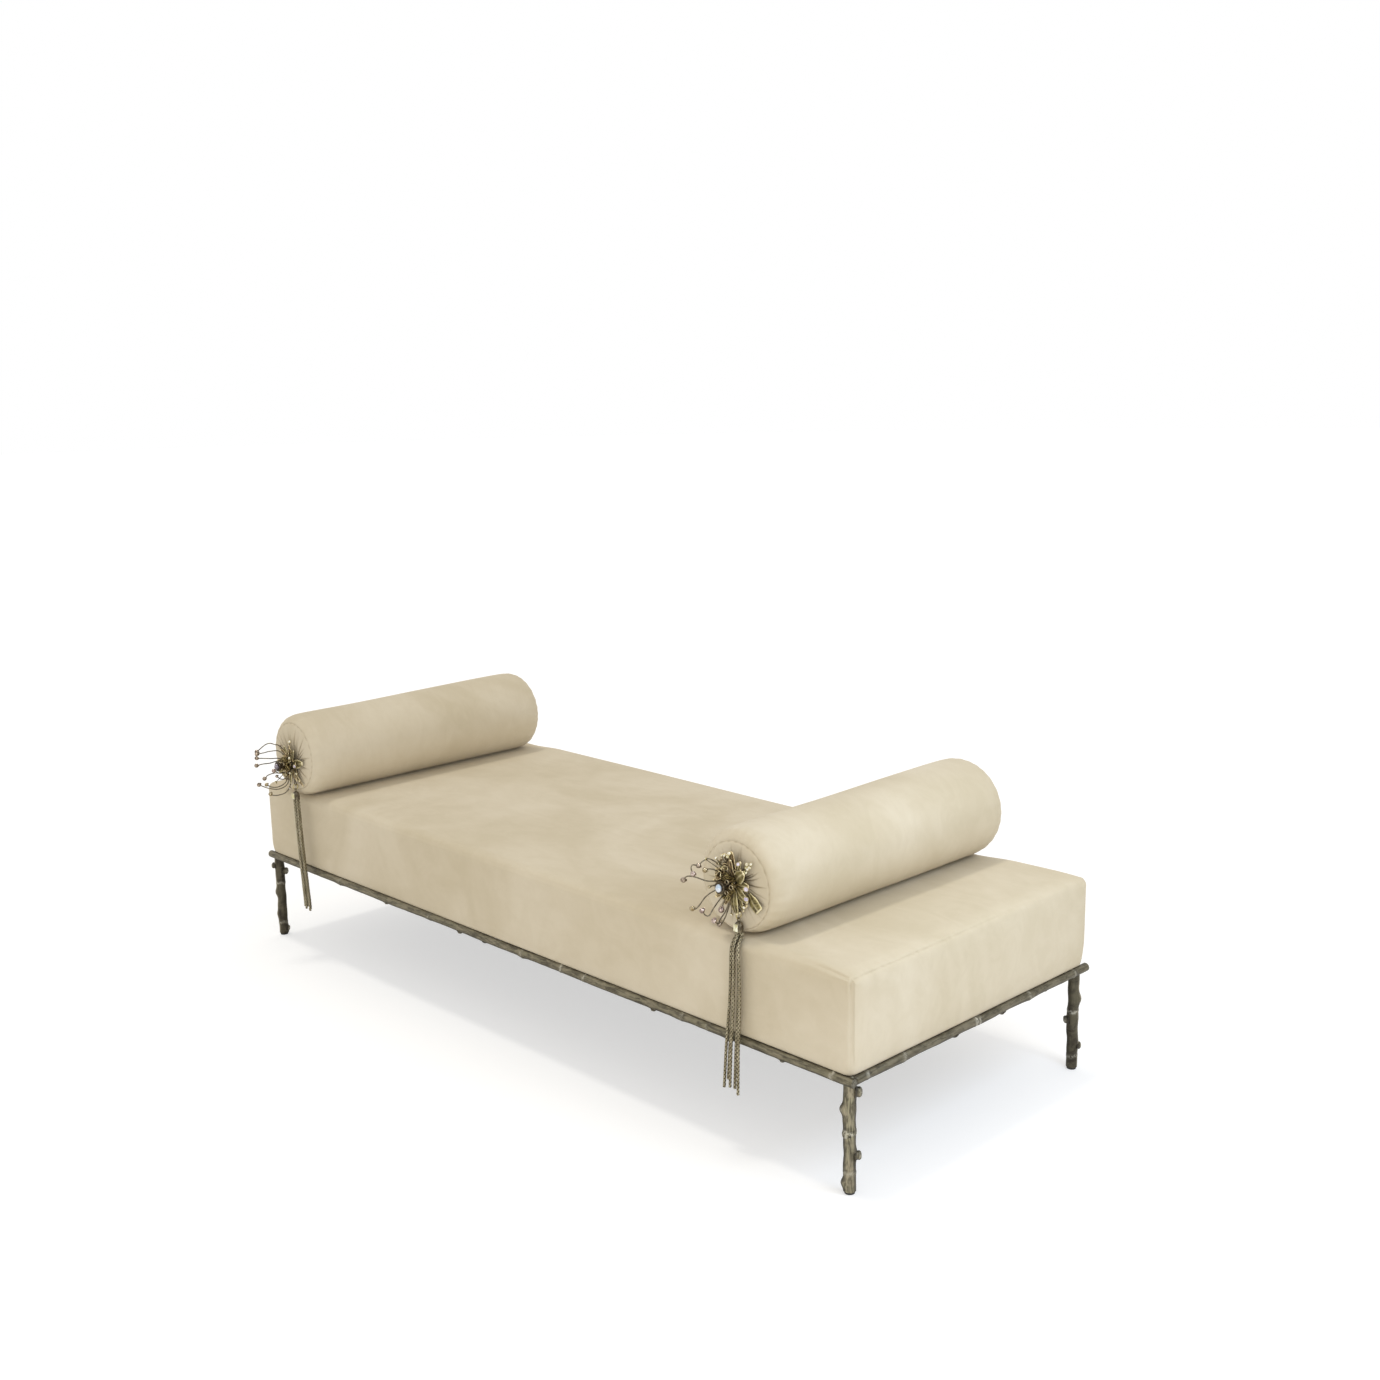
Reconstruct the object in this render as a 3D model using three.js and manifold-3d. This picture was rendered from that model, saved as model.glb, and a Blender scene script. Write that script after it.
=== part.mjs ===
// Recamier: an upholstered daybed with a loose bolster at each end, on a metal base cast to look
// like twigs. A flower ornament sits on each bolster's front end and carries a tassel.
// Millimetres, +X to the right along the length, +Y to the back, +Z up from the floor.

import * as THREE from 'three';
import * as BufferGeometryUtils from 'three/addons/utils/BufferGeometryUtils.js';
import Module from 'manifold-3d';

const wasm = await Module();
wasm.setup();

// Overall sizes
const bodyLength = 2130;
const bodyDepth = 800;
const seatThickness = 197;
const baseHeight = 247;

// Fits
const touchGap = 0.3;
const cutOverrun = 3;

// Twig rails: how far they stand out of the cloth, how they wander, where they are cut off
const railRadius = 9.5;
const railProud = 5;
const railWander = 1;
const railCornerReach = 6;
const railStubReach = 13;
const railRingSpacing = 105;

// Twig legs
const legRadius = 12.5;
const legInset = 16;
const legWander = 1.2;
const legRingSpacing = 25;
const glideHeight = 3;
const glideMargin = 2;

// Corner plates welded to the legs, and the bolts through them
const plateThickness = 5;
const plateReach = 78;
const boltRadius = 4;
const boltHeadRadius = 7;
const boltHeadHeight = 5.3;
const boltGrip = 42;
const boltAlong = 58;

// Timber seat frame
const paddingThickness = 2;
const boardThickness = 25;
const boardHeight = 98;
const slatWidth = 45;
const slatHeight = 70;
const slatCount = 3;
const deckThickness = 9;
const dustCoverThickness = 1.5;

// Seat cover
const coverWall = 4;
const hemTuck = 10;
const hemRise = 46;
const coverCornerRadius = 26;
const topEdgeRadius = 21;
const seatCrown = 5;
const sideDraw = 3;

// Bolsters
const bolsterRadius = 111;
const bolsterLength = 758;
const bolsterFlat = 2;
const bolsterWall = 4;
const bolsterEdgeRadius = 14;
const bolsterBarrel = 1.5;
const endPuff = 8;
const endSeamInset = 10;
const endSeamDepth = 4;
const pleatCount = 20;
const pleatDepth = 1.6;
const leftBolsterFromEnd = 187;
const rightBolsterFromEnd = 324;
const leftBolsterFromFace = -14;
const rightBolsterFromFace = 28;

// Ornament on a bolster's front end
const studRadius = 3.2;
const studLength = 30;
const discRadius = 18;
const discThickness = 2;
const postRadius = 3.4;
const postLength = 38;
const hubWall = 5;
const hubHeight = 3.6;
const stamenHubHeight = 5;
const leafWidth = 13;
const leafThickness = 1.8;
const leafReach = 56;
const stamenWire = 1.3;
const stamenBallRadius = 5.7;
const stamenReach = 100;
const tubeRadius = 4.5;
const tubeBore = 2;
const tubeLength = 13;
const tubeCircle = 10;
const settingRadius = 12.5;
const settingSleeve = 7;
const settingDepth = 16;
const pearlRadius = 6.5;
const buttonRadius = 16;
const buttonHeight = 7;

// Tassels
const eyeWire = 1.1;
const eyeRadius = 5;
const ringRadius = 7;
const capEyeRadius = 4;
const capRadius = 9;
const capHeight = 22;
const dropArmRadius = 1.5;
const strandDiameter = 5.5;
const strandCount = 5;
const strandSteps = 12;
const strandCircle = 5.9;

const paint = {
  velvet: new THREE.MeshStandardMaterial({ color: 0xd2c5a8, roughness: 0.85, metalness: 0 }),
  twig: new THREE.MeshStandardMaterial({ color: 0x57554a, roughness: 0.5, metalness: 0.8 }),
  nylon: new THREE.MeshStandardMaterial({ color: 0x2b2a27, roughness: 0.6, metalness: 0 }),
  steel: new THREE.MeshStandardMaterial({ color: 0x8c8d8a, roughness: 0.4, metalness: 1 }),
  timber: new THREE.MeshStandardMaterial({ color: 0xb98f5e, roughness: 0.7, metalness: 0 }),
  foam: new THREE.MeshStandardMaterial({ color: 0xe8dfae, roughness: 0.95, metalness: 0 }),
  lining: new THREE.MeshStandardMaterial({ color: 0x24231f, roughness: 0.9, metalness: 0 }),
  brass: new THREE.MeshStandardMaterial({ color: 0x8a7a48, roughness: 0.35, metalness: 1 }),
  bronze: new THREE.MeshStandardMaterial({ color: 0x5a4a34, roughness: 0.45, metalness: 0.9 }),
  pearl: new THREE.MeshStandardMaterial({ color: 0xdfe6f0, roughness: 0.15, metalness: 0 }),
  braid: new THREE.MeshStandardMaterial({ color: 0x8d8360, roughness: 0.75, metalness: 0.1 }),
};

// Working sizes that follow from the ones above
const halfLength = bodyLength / 2;
const halfDepth = bodyDepth / 2;
const seatTop = baseHeight + seatThickness;
const railSwellShare = 0.05;
const railInset = railRadius - railProud;
const railHeight = baseHeight - railRadius * (1 + railSwellShare) - railWander;
const railInnerFace = railInset + railRadius * (1 + railSwellShare) + railWander;
const frameBottom = baseHeight + touchGap;
const boardBottom = frameBottom + dustCoverThickness + touchGap;
const boardTop = boardBottom + boardHeight;
const deckTop = boardTop + touchGap + deckThickness;
const boardInset = coverWall + hemTuck + sideDraw + paddingThickness;
const boardMiddle = boardInset + boardThickness / 2;
const bolsterAxisHeight = seatTop + touchGap + bolsterRadius - bolsterFlat;

// Turns a closed geometry into a solid that can be joined and cut
function asSolid(geometry) {
  const bare = geometry.clone();
  bare.deleteAttribute('normal');
  bare.deleteAttribute('uv');
  const merged = BufferGeometryUtils.mergeVertices(bare, touchGap / 1000);
  const mesh = new wasm.Mesh({
    numProp: 3,
    vertProperties: new Float32Array(merged.attributes.position.array),
    triVerts: new Uint32Array(merged.index.array),
  });
  mesh.merge();
  return new wasm.Manifold(mesh);
}

// Turns a solid back into a geometry
function asGeometry(solid) {
  const mesh = solid.getMesh();
  const geometry = new THREE.BufferGeometry();
  geometry.setAttribute('position', new THREE.BufferAttribute(new Float32Array(mesh.vertProperties), 3));
  geometry.setIndex(new THREE.BufferAttribute(new Uint32Array(mesh.triVerts), 1));
  geometry.computeVertexNormals();
  return geometry;
}

function join(geometries) {
  return asGeometry(geometries.map(asSolid).reduce((whole, part) => whole.add(part)));
}

function cut(geometry, tools) {
  return asGeometry(tools.map(asSolid).reduce((whole, tool) => whole.subtract(tool), asSolid(geometry)));
}

function named(name, geometry, material) {
  const mesh = new THREE.Mesh(geometry, material);
  mesh.name = name;
  return mesh;
}

// A block from its lowest to its highest corner
function block(low, high) {
  const size = high.clone().sub(low);
  return new THREE.BoxGeometry(size.x, size.y, size.z)
    .translate((low.x + high.x) / 2, (low.y + high.y) / 2, (low.z + high.z) / 2);
}

// Joins rings of equal count into a skin. A centre closes an end, and without centres the last
// ring joins the first, which makes a closed loop of rings.
function skin(rings, firstCentre, lastCentre) {
  const count = rings[0].length;
  const points = rings.flat();
  const faces = [];
  const bands = firstCentre ? rings.length - 1 : rings.length;
  for (let band = 0; band < bands; band += 1) {
    const low = band * count;
    const high = ((band + 1) % rings.length) * count;
    for (let i = 0; i < count; i += 1) {
      const next = (i + 1) % count;
      faces.push(low + i, low + next, high + next);
      faces.push(low + i, high + next, high + i);
    }
  }
  if (firstCentre) {
    const last = (rings.length - 1) * count;
    const lowCentre = points.push(firstCentre) - 1;
    const highCentre = points.push(lastCentre) - 1;
    for (let i = 0; i < count; i += 1) {
      const next = (i + 1) % count;
      faces.push(lowCentre, next, i);
      faces.push(last + i, last + next, highCentre);
    }
  }
  const geometry = new THREE.BufferGeometry().setFromPoints(points);
  geometry.setIndex(faces);
  geometry.computeVertexNormals();
  return geometry;
}

// A round bar along a curve
function bar(curve, radius, sides, steps) {
  const section = new THREE.Shape();
  for (let i = 0; i < sides; i += 1) {
    const turn = (i / sides) * Math.PI * 2;
    const x = radius * Math.cos(turn);
    const y = radius * Math.sin(turn);
    if (i === 0) section.moveTo(x, y);
    else section.lineTo(x, y);
  }
  section.closePath();
  return new THREE.ExtrudeGeometry(section, { steps, extrudePath: curve, bevelEnabled: false });
}

// A slow waver between -1 and 1 along a twig
function waver(share, seed) {
  const slow = Math.sin(Math.PI * 2 * (2.3 * share + seed));
  const quick = Math.sin(Math.PI * 2 * (5.1 * share + 2.7 * seed));
  return 0.6 * slow + 0.4 * quick;
}

// A twig along +Z from zero to its length. Swellings are smooth bumps, and stubs are side shoots
// that were cut off. Their places are shares of the length, their sizes shares of the radius.
function twig({ length, radius, wander, step, seed, swellings = [], stubs = [], grow = 0 }) {
  const sides = 8;
  const steps = Math.max(4, Math.round(length / step));
  const rings = [];
  const middleAt = (share) => new THREE.Vector2(
    wander * waver(share, seed) * Math.sin(Math.PI * share),
    wander * waver(share, seed + 0.37) * Math.sin(Math.PI * share),
  );
  for (let i = 0; i <= steps; i += 1) {
    const share = i / steps;
    const middle = middleAt(share);
    const ring = [];
    for (let j = 0; j < sides; j += 1) {
      const turn = (j / sides) * Math.PI * 2;
      let reach = radius * (1 + railSwellShare * waver(share, seed + 0.61) * Math.sin(Math.PI * share));
      for (const [place, towards, riseShare, spreadShare] of swellings) {
        const along = ((share - place) * length) / (radius * spreadShare);
        const facing = Math.max(0, Math.cos(turn - THREE.MathUtils.degToRad(towards)));
        reach += radius * riseShare * Math.exp(-along * along) * facing * facing;
      }
      reach += grow;
      ring.push(new THREE.Vector3(
        middle.x + reach * Math.cos(turn),
        middle.y + reach * Math.sin(turn),
        share * length,
      ));
    }
    rings.push(ring);
  }
  const stem = skin(rings, new THREE.Vector3(), new THREE.Vector3(0, 0, length));
  const shoots = stubs.map(([place, towards, reachShare, girthShare]) => {
    const tip = radius * (1 + reachShare);
    const girth = radius * girthShare;
    const profile = [
      new THREE.Vector2(0, 0),
      new THREE.Vector2(girth, 0),
      new THREE.Vector2(girth, tip - girth * 0.3),
      new THREE.Vector2(girth * 0.7, tip),
      new THREE.Vector2(0, tip),
    ];
    const middle = middleAt(place);
    return new THREE.LatheGeometry(profile, 6)
      .rotateZ(-Math.PI / 2)
      .rotateZ(THREE.MathUtils.degToRad(towards))
      .translate(middle.x, middle.y, place * length);
  });
  return shoots.length ? join([stem, ...shoots]) : stem;
}

// Outline of the seat at one height: a rectangle with round corners whose sides draw in a little
function seatRing(inset, height, draw) {
  const cornerSteps = 3;
  const longSteps = 6;
  const shortSteps = 3;
  const halfX = halfLength - inset;
  const halfY = halfDepth - inset;
  const corner = Math.max(coverCornerRadius - inset, coverCornerRadius * 0.35);
  const ring = [];
  const quarters = [[1, 1, 0], [-1, 1, 90], [-1, -1, 180], [1, -1, 270]];
  quarters.forEach(([signX, signY, start], index) => {
    for (let i = 0; i <= cornerSteps; i += 1) {
      const turn = THREE.MathUtils.degToRad(start + (90 * i) / cornerSteps);
      ring.push(new THREE.Vector3(
        signX * (halfX - corner) + corner * Math.cos(turn),
        signY * (halfY - corner) + corner * Math.sin(turn),
        height,
      ));
    }
    const long = index % 2 === 0;
    const sideSteps = long ? longSteps : shortSteps;
    for (let i = 1; i < sideSteps; i += 1) {
      const share = i / sideSteps;
      const pull = draw * Math.sin(Math.PI * share) ** 2;
      const along = (long ? halfX - corner : halfY - corner) * (1 - 2 * share);
      if (long) ring.push(new THREE.Vector3(signX * along, signY * (halfY - pull), height));
      else ring.push(new THREE.Vector3(signX * (halfX - pull), signY * along, height));
    }
  });
  return ring;
}

// The seat's side and top as insets and heights, moved in by an offset along its own slope
function seatProfile(offset, arcSteps) {
  const points = [[hemTuck, frameBottom], [hemTuck * 0.3, frameBottom + hemRise * 0.35]];
  points.push([0, frameBottom + hemRise]);
  const shoulder = seatTop - seatCrown - topEdgeRadius;
  points.push([0, (frameBottom + hemRise + shoulder) / 2]);
  for (let i = 0; i <= arcSteps; i += 1) {
    const turn = (Math.PI / 2) * (i / arcSteps);
    points.push([
      topEdgeRadius * (1 - Math.cos(turn)),
      shoulder + topEdgeRadius * Math.sin(turn),
    ]);
  }
  points.push([halfDepth * 0.13, seatTop - seatCrown * 0.45]);
  points.push([halfDepth * 0.36, seatTop]);
  points.push([halfDepth * 0.8, seatTop]);
  return points.map(([inset, height], i) => {
    const before = points[Math.max(0, i - 1)];
    const after = points[Math.min(points.length - 1, i + 1)];
    const slope = new THREE.Vector2(after[0] - before[0], after[1] - before[1]).normalize();
    const low = i === 0 ? frameBottom : height - offset * slope.x;
    return [inset + offset * slope.y, low];
  });
}

function seatRings(offset, arcSteps) {
  return seatProfile(offset, arcSteps).map(([inset, height]) => seatRing(inset, height, sideDraw));
}

// The cover: an outer and an inner skin joined along the hem, open below
function seatCover() {
  const outer = seatRings(0, 4);
  const inner = seatRings(coverWall, 2).reverse();
  const count = outer[0].length;
  const outerTop = new THREE.Vector3(0, 0, seatTop);
  const innerTop = new THREE.Vector3(0, 0, seatTop - coverWall);
  const rings = [...outer, ...inner];
  const points = [...rings.flat(), outerTop, innerTop];
  const faces = [];
  const topBand = outer.length - 1;
  for (let band = 0; band < rings.length; band += 1) {
    const low = band * count;
    const high = ((band + 1) % rings.length) * count;
    for (let i = 0; i < count; i += 1) {
      const next = (i + 1) % count;
      if (band === topBand) {
        faces.push(low + i, low + next, points.length - 2);
        faces.push(high + next, high + i, points.length - 1);
      } else {
        faces.push(low + i, low + next, high + next);
        faces.push(low + i, high + next, high + i);
      }
    }
  }
  const geometry = new THREE.BufferGeometry().setFromPoints(points);
  geometry.setIndex(faces);
  geometry.computeVertexNormals();
  return geometry;
}

// The foam fills the cover down to the deck, and wraps the frame's outer faces
function seatFoam() {
  const offset = coverWall + touchGap;
  const rings = seatRings(offset, 2).slice(2);
  const bottom = new THREE.Vector3(0, 0, rings[0][0].z);
  const filling = skin(rings, bottom, new THREE.Vector3(0, 0, seatTop - offset));
  const room = boardInset - touchGap;
  return cut(filling, [block(
    new THREE.Vector3(-halfLength + room, -halfDepth + room, frameBottom - cutOverrun),
    new THREE.Vector3(halfLength - room, halfDepth - room, deckTop + touchGap),
  )]);
}

// Places of the four corners, each with the signs that point outwards
const corners = [
  ['front_left', -1, -1],
  ['front_right', 1, -1],
  ['back_left', -1, 1],
  ['back_right', 1, 1],
];

// Rails, laid from their start towards +X or +Y. Angles turn about the rail from +X or +Y's
// right-hand side, and 270 points down.
const railLook = { radius: railRadius, wander: railWander, step: railRingSpacing };

const frontRailShares = {
  swellings: [[0.17, 250, 0.2, 1.6], [0.36, 280, 0.15, 1.5], [0.533, 265, 0.28, 1.4], [0.78, 275, 0.22, 2]],
  stubs: [[0.27, 262, 0.42, 0.55], [0.418, 255, 0.4, 0.6], [0.465, 285, 0.3, 0.7], [0.741, 258, 0.45, 0.6],
    [0.845, 268, 0.5, 0.6], [0.914, 262, 0.42, 0.55]],
};
const sideRailShares = {
  swellings: [[0.18, 285, 0.2, 2], [0.715, 262, 0.2, 1.5]],
  stubs: [[0.391, 268, 0.25, 0.7], [0.602, 280, 0.55, 0.65], [0.799, 300, 0.2, 0.55]],
};
const backRailShares = {
  swellings: [[0.22, 260, 0.2, 1.6], [0.61, 275, 0.25, 1.8]],
  stubs: [[0.14, 268, 0.45, 0.6], [0.39, 280, 0.4, 0.55], [0.52, 262, 0.35, 0.6], [0.83, 272, 0.45, 0.6]],
};

// A rail along X, whose angles are seen from its right end with zero at the back
function railAlongX(from, to, y, seed, shares, grow = 0) {
  return twig({ ...railLook, ...shares, length: to - from, seed, grow })
    .rotateX(Math.PI / 2)
    .rotateZ(Math.PI / 2)
    .translate(from, y, railHeight);
}

// A rail along Y, whose angles are seen from its back end
function railAlongY(from, to, x, seed, shares, grow = 0) {
  return twig({ ...railLook, ...shares, length: to - from, seed, grow })
    .rotateZ(Math.PI)
    .rotateX(-Math.PI / 2)
    .translate(x, from, railHeight);
}

const plainTwig = { swellings: [], stubs: [] };
const railX = halfLength - railInset;
const railY = halfDepth - railInset;
const frontRailEnds = [-halfLength - railStubReach, halfLength + railCornerReach];
const rightRailEnds = [-railY, halfDepth + railStubReach];
const backRailEnds = [-halfLength - railCornerReach, railX];
const leftRailEnds = [-railY, railY];
const frontRailTool = railAlongX(...frontRailEnds, -railY, 0.1, plainTwig, touchGap);
const rightRailTool = railAlongY(...rightRailEnds, railX, 0.4, plainTwig, touchGap);
const backRailTool = railAlongX(...backRailEnds, railY, 0.7, plainTwig, touchGap);
const leftRailTool = railAlongY(...leftRailEnds, -railX, 0.9, plainTwig, touchGap);

// The room above a rail's middle line and outwards of it, where a leg has no metal
function outside(xOne, xTwo, yOne, yTwo) {
  return block(
    new THREE.Vector3(Math.min(xOne, xTwo), Math.min(yOne, yTwo), railHeight),
    new THREE.Vector3(Math.max(xOne, xTwo), Math.max(yOne, yTwo), baseHeight + cutOverrun),
  );
}

function base() {
  const group = new THREE.Group();
  const frontRail = railAlongX(...frontRailEnds, -railY, 0.1, frontRailShares);
  const rightRail = cut(railAlongY(...rightRailEnds, railX, 0.4, sideRailShares), [frontRailTool]);
  const backRail = cut(railAlongX(...backRailEnds, railY, 0.7, backRailShares), [rightRailTool]);
  const leftRail = cut(
    railAlongY(...leftRailEnds, -railX, 0.9, sideRailShares),
    [frontRailTool, backRailTool],
  );
  group.add(named('front_rail', frontRail, paint.twig));
  group.add(named('right_rail', rightRail, paint.twig));
  group.add(named('back_rail', backRail, paint.twig));
  group.add(named('left_rail', leftRail, paint.twig));

  // Places are shares of the leg's height, angles turn from +X towards +Y
  const legShares = {
    front_left: {
      stubs: [[0.83, 222, 0.75, 0.66], [0.76, 40, 0.9, 0.75], [0.06, 44, 0.35, 0.6]],
      swellings: [[0.5, 225, 0.35, 0.9], [0.24, 230, 0.3, 0.8]],
    },
    front_right: {
      stubs: [[0.85, 46, 1.15, 0.78], [0.29, 44, 0.5, 0.6], [0.5, 268, 0.25, 0.6]],
      swellings: [[0.68, 226, 0.62, 0.95], [0.06, 222, 0.3, 0.8]],
    },
    back_left: {
      stubs: [[0.7, 215, 0.8, 0.65], [0.33, 60, 0.7, 0.6]],
      swellings: [[0.5, 45, 0.35, 1]],
    },
    back_right: {
      stubs: [[0.475, 222, 0.7, 0.66], [0.22, 44, 0.6, 0.66]],
      swellings: [[0.68, 46, 0.35, 1.1]],
    },
  };
  const legFoot = glideHeight + touchGap;
  corners.forEach(([corner, signX, signY], index) => {
    const x = signX * (halfLength - legInset);
    const y = signY * (halfDepth - legInset);
    const stem = twig({
      length: baseHeight - plateThickness / 2 - legFoot,
      radius: legRadius,
      wander: legWander,
      step: legRingSpacing,
      seed: 0.23 * index,
      ...legShares[corner],
    }).translate(x, y, legFoot);
    const plateNear = [signX * (halfLength - railInnerFace), signY * (halfDepth - railInnerFace)];
    const plateFar = [signX * (halfLength - plateReach), signY * (halfDepth - plateReach)];
    const plate = block(
      new THREE.Vector3(Math.min(plateNear[0], plateFar[0]), Math.min(plateNear[1], plateFar[1]),
        baseHeight - plateThickness),
      new THREE.Vector3(Math.max(plateNear[0], plateFar[0]), Math.max(plateNear[1], plateFar[1]),
        baseHeight),
    );
    const boltX = signX * (halfLength - boltAlong);
    const boltY = signY * (halfDepth - boardMiddle);
    const boltHole = new THREE.CylinderGeometry(
      boltRadius + touchGap, boltRadius + touchGap, plateThickness + 2 * cutOverrun, 12,
    ).rotateX(Math.PI / 2).translate(boltX, boltY, baseHeight - plateThickness / 2);
    const sideTool = signX < 0 ? leftRailTool : rightRailTool;
    const faceTool = signY < 0 ? frontRailTool : backRailTool;
    const aboveSide = outside(signX * railX, signX * (halfLength + cutOverrun), -halfDepth, halfDepth);
    const aboveFace = outside(-halfLength, halfLength, signY * railY, signY * (halfDepth + cutOverrun));
    const leg = cut(join([stem, plate]), [sideTool, faceTool, aboveSide, aboveFace, boltHole]);
    group.add(named(`${corner}_leg`, leg, paint.twig));

    const glide = new THREE.CylinderGeometry(
      legRadius - glideMargin, legRadius - glideMargin, glideHeight, 12,
    ).rotateX(Math.PI / 2).translate(x, y, glideHeight / 2);
    group.add(named(`${corner}_glide`, glide, paint.nylon));

    const headTop = baseHeight - plateThickness - touchGap;
    const head = new THREE.CylinderGeometry(boltHeadRadius, boltHeadRadius, boltHeadHeight, 6)
      .rotateX(Math.PI / 2).translate(boltX, boltY, headTop - boltHeadHeight / 2);
    const shankTop = baseHeight + boltGrip;
    const shankFoot = headTop - boltHeadHeight / 2;
    const shank = new THREE.CylinderGeometry(boltRadius, boltRadius, shankTop - shankFoot, 8)
      .rotateX(Math.PI / 2).translate(boltX, boltY, (shankTop + shankFoot) / 2);
    group.add(named(`${corner}_bolt`, join([head, shank]), paint.steel));
  });
  return group;
}

// Holes for the four bolts, from below a part's underside up to a little past the bolts' ends
function boltHoles() {
  return corners.map(([, signX, signY]) => {
    const low = baseHeight - cutOverrun;
    const high = baseHeight + boltGrip + touchGap;
    return new THREE.CylinderGeometry(boltRadius + touchGap, boltRadius + touchGap, high - low, 12)
      .rotateX(Math.PI / 2)
      .translate(
        signX * (halfLength - boltAlong),
        signY * (halfDepth - boardMiddle),
        (low + high) / 2,
      );
  });
}

function seat() {
  const group = new THREE.Group();
  const outerX = halfLength - boardInset;
  const outerY = halfDepth - boardInset;
  const innerX = outerX - boardThickness - touchGap;
  const innerY = outerY - boardThickness - touchGap;

  const dustCover = block(
    new THREE.Vector3(-outerX, -outerY, frameBottom),
    new THREE.Vector3(outerX, outerY, frameBottom + dustCoverThickness),
  );
  group.add(named('dust_cover', cut(dustCover, boltHoles()), paint.lining));

  for (const [name, sign] of [['front_board', -1], ['back_board', 1]]) {
    const near = sign * outerY;
    const far = sign * (outerY - boardThickness);
    const board = block(
      new THREE.Vector3(-outerX, Math.min(near, far), boardBottom),
      new THREE.Vector3(outerX, Math.max(near, far), boardTop),
    );
    group.add(named(name, cut(board, boltHoles()), paint.timber));
  }
  for (const [name, sign] of [['left_board', -1], ['right_board', 1]]) {
    const near = sign * outerX;
    const far = sign * (outerX - boardThickness);
    group.add(named(name, block(
      new THREE.Vector3(Math.min(near, far), -innerY, boardBottom),
      new THREE.Vector3(Math.max(near, far), innerY, boardTop),
    ), paint.timber));
  }
  for (let i = 1; i <= slatCount; i += 1) {
    const x = -innerX + (2 * innerX * i) / (slatCount + 1);
    group.add(named(`cross_slat_${i}`, block(
      new THREE.Vector3(x - slatWidth / 2, -innerY, boardTop - slatHeight),
      new THREE.Vector3(x + slatWidth / 2, innerY, boardTop),
    ), paint.timber));
  }
  group.add(named('deck_panel', block(
    new THREE.Vector3(-outerX, -outerY, boardTop + touchGap),
    new THREE.Vector3(outerX, outerY, deckTop),
  ), paint.timber));
  group.add(named('seat_foam', seatFoam(), paint.foam));
  group.add(named('seat_cover', seatCover(), paint.velvet));
  return group;
}

// One ring of a bolster's skin, round the Y axis, flat where it lies on the seat. On the front
// end the rings run together at the ornament, which may sit beside the bolster's middle.
function bolsterRing(radius, depth, pleat, flatRadius, centre) {
  const count = pleatCount * 2;
  const seam = bolsterRadius - endSeamInset;
  const hole = studRadius + touchGap;
  const inFront = depth < bolsterLength / 2;
  const gathered = inFront ? Math.max(0, (seam - radius) / (seam - hole)) : 0;
  const ring = [];
  for (let i = 0; i < count; i += 1) {
    const turn = (i / count) * Math.PI * 2;
    const fold = i % 2 === 0 ? pleat : -pleat;
    ring.push(new THREE.Vector3(
      centre.across * gathered - radius * Math.cos(turn),
      depth + fold,
      Math.max(centre.up * gathered + radius * Math.sin(turn), -flatRadius),
    ));
  }
  return ring;
}

// Half of the bolster's outline, from the hole in its front end to its middle: radius, depth
// behind the front plane, and how deep the gathered pleats are there
function bolsterHalf(wall) {
  const seam = bolsterRadius - endSeamInset;
  const hole = studRadius + touchGap;
  const edge = bolsterRadius - bolsterBarrel;
  return [
    [hole, endPuff + wall, 0],
    [discRadius * 1.5, endPuff * 0.35 + wall, pleatDepth],
    [seam * 0.6, wall, pleatDepth],
    [seam - wall * 0.5, endSeamDepth * 0.6 + wall, pleatDepth * 0.4],
    [seam + endSeamInset * 0.2 - wall * 0.7, endSeamDepth + wall, 0],
    [edge - bolsterEdgeRadius * 0.2 - wall, endSeamDepth + bolsterEdgeRadius * 0.35 + wall * 0.5, 0],
    [edge - wall, endSeamDepth + bolsterEdgeRadius, 0],
    [bolsterRadius - wall, bolsterLength * 0.25, 0],
  ];
}

function bolsterCover(centre) {
  const wholeSide = (half) => [
    ...half,
    ...half.slice().reverse().map(([radius, depth, pleat]) => [radius, bolsterLength - depth, -pleat]),
  ];
  const outer = wholeSide(bolsterHalf(0));
  const inner = wholeSide(bolsterHalf(bolsterWall).filter((row, i) => [0, 2, 6].includes(i)));
  const flat = bolsterRadius - bolsterFlat;
  const rings = [
    ...outer.map(([radius, depth, pleat]) => bolsterRing(radius, depth, pleat, flat, centre)),
    ...inner.reverse().map(
      ([radius, depth, pleat]) => bolsterRing(radius, depth, pleat, flat - bolsterWall, centre),
    ),
  ];
  return skin(rings);
}

// The core has a bore for the ornament's stud in front and one for the button's stud behind
function bolsterCore(centre) {
  const radius = bolsterRadius - bolsterFlat - bolsterWall - touchGap;
  const end = endPuff + endSeamDepth + bolsterWall + pleatDepth;
  const chamfer = bolsterEdgeRadius;
  const filling = new THREE.LatheGeometry([
    new THREE.Vector2(0, end),
    new THREE.Vector2(radius - chamfer, end),
    new THREE.Vector2(radius - bolsterBarrel, end + chamfer),
    new THREE.Vector2(radius - bolsterBarrel, bolsterLength - end - chamfer),
    new THREE.Vector2(radius - chamfer, bolsterLength - end),
    new THREE.Vector2(0, bolsterLength - end),
  ], 20);
  const bore = () => new THREE.CylinderGeometry(
    studRadius + touchGap, studRadius + touchGap, 2 * studLength, 12,
  );
  return cut(filling, [
    bore().translate(centre.across, end, centre.up),
    bore().translate(0, bolsterLength - end, 0),
  ]);
}

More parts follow.
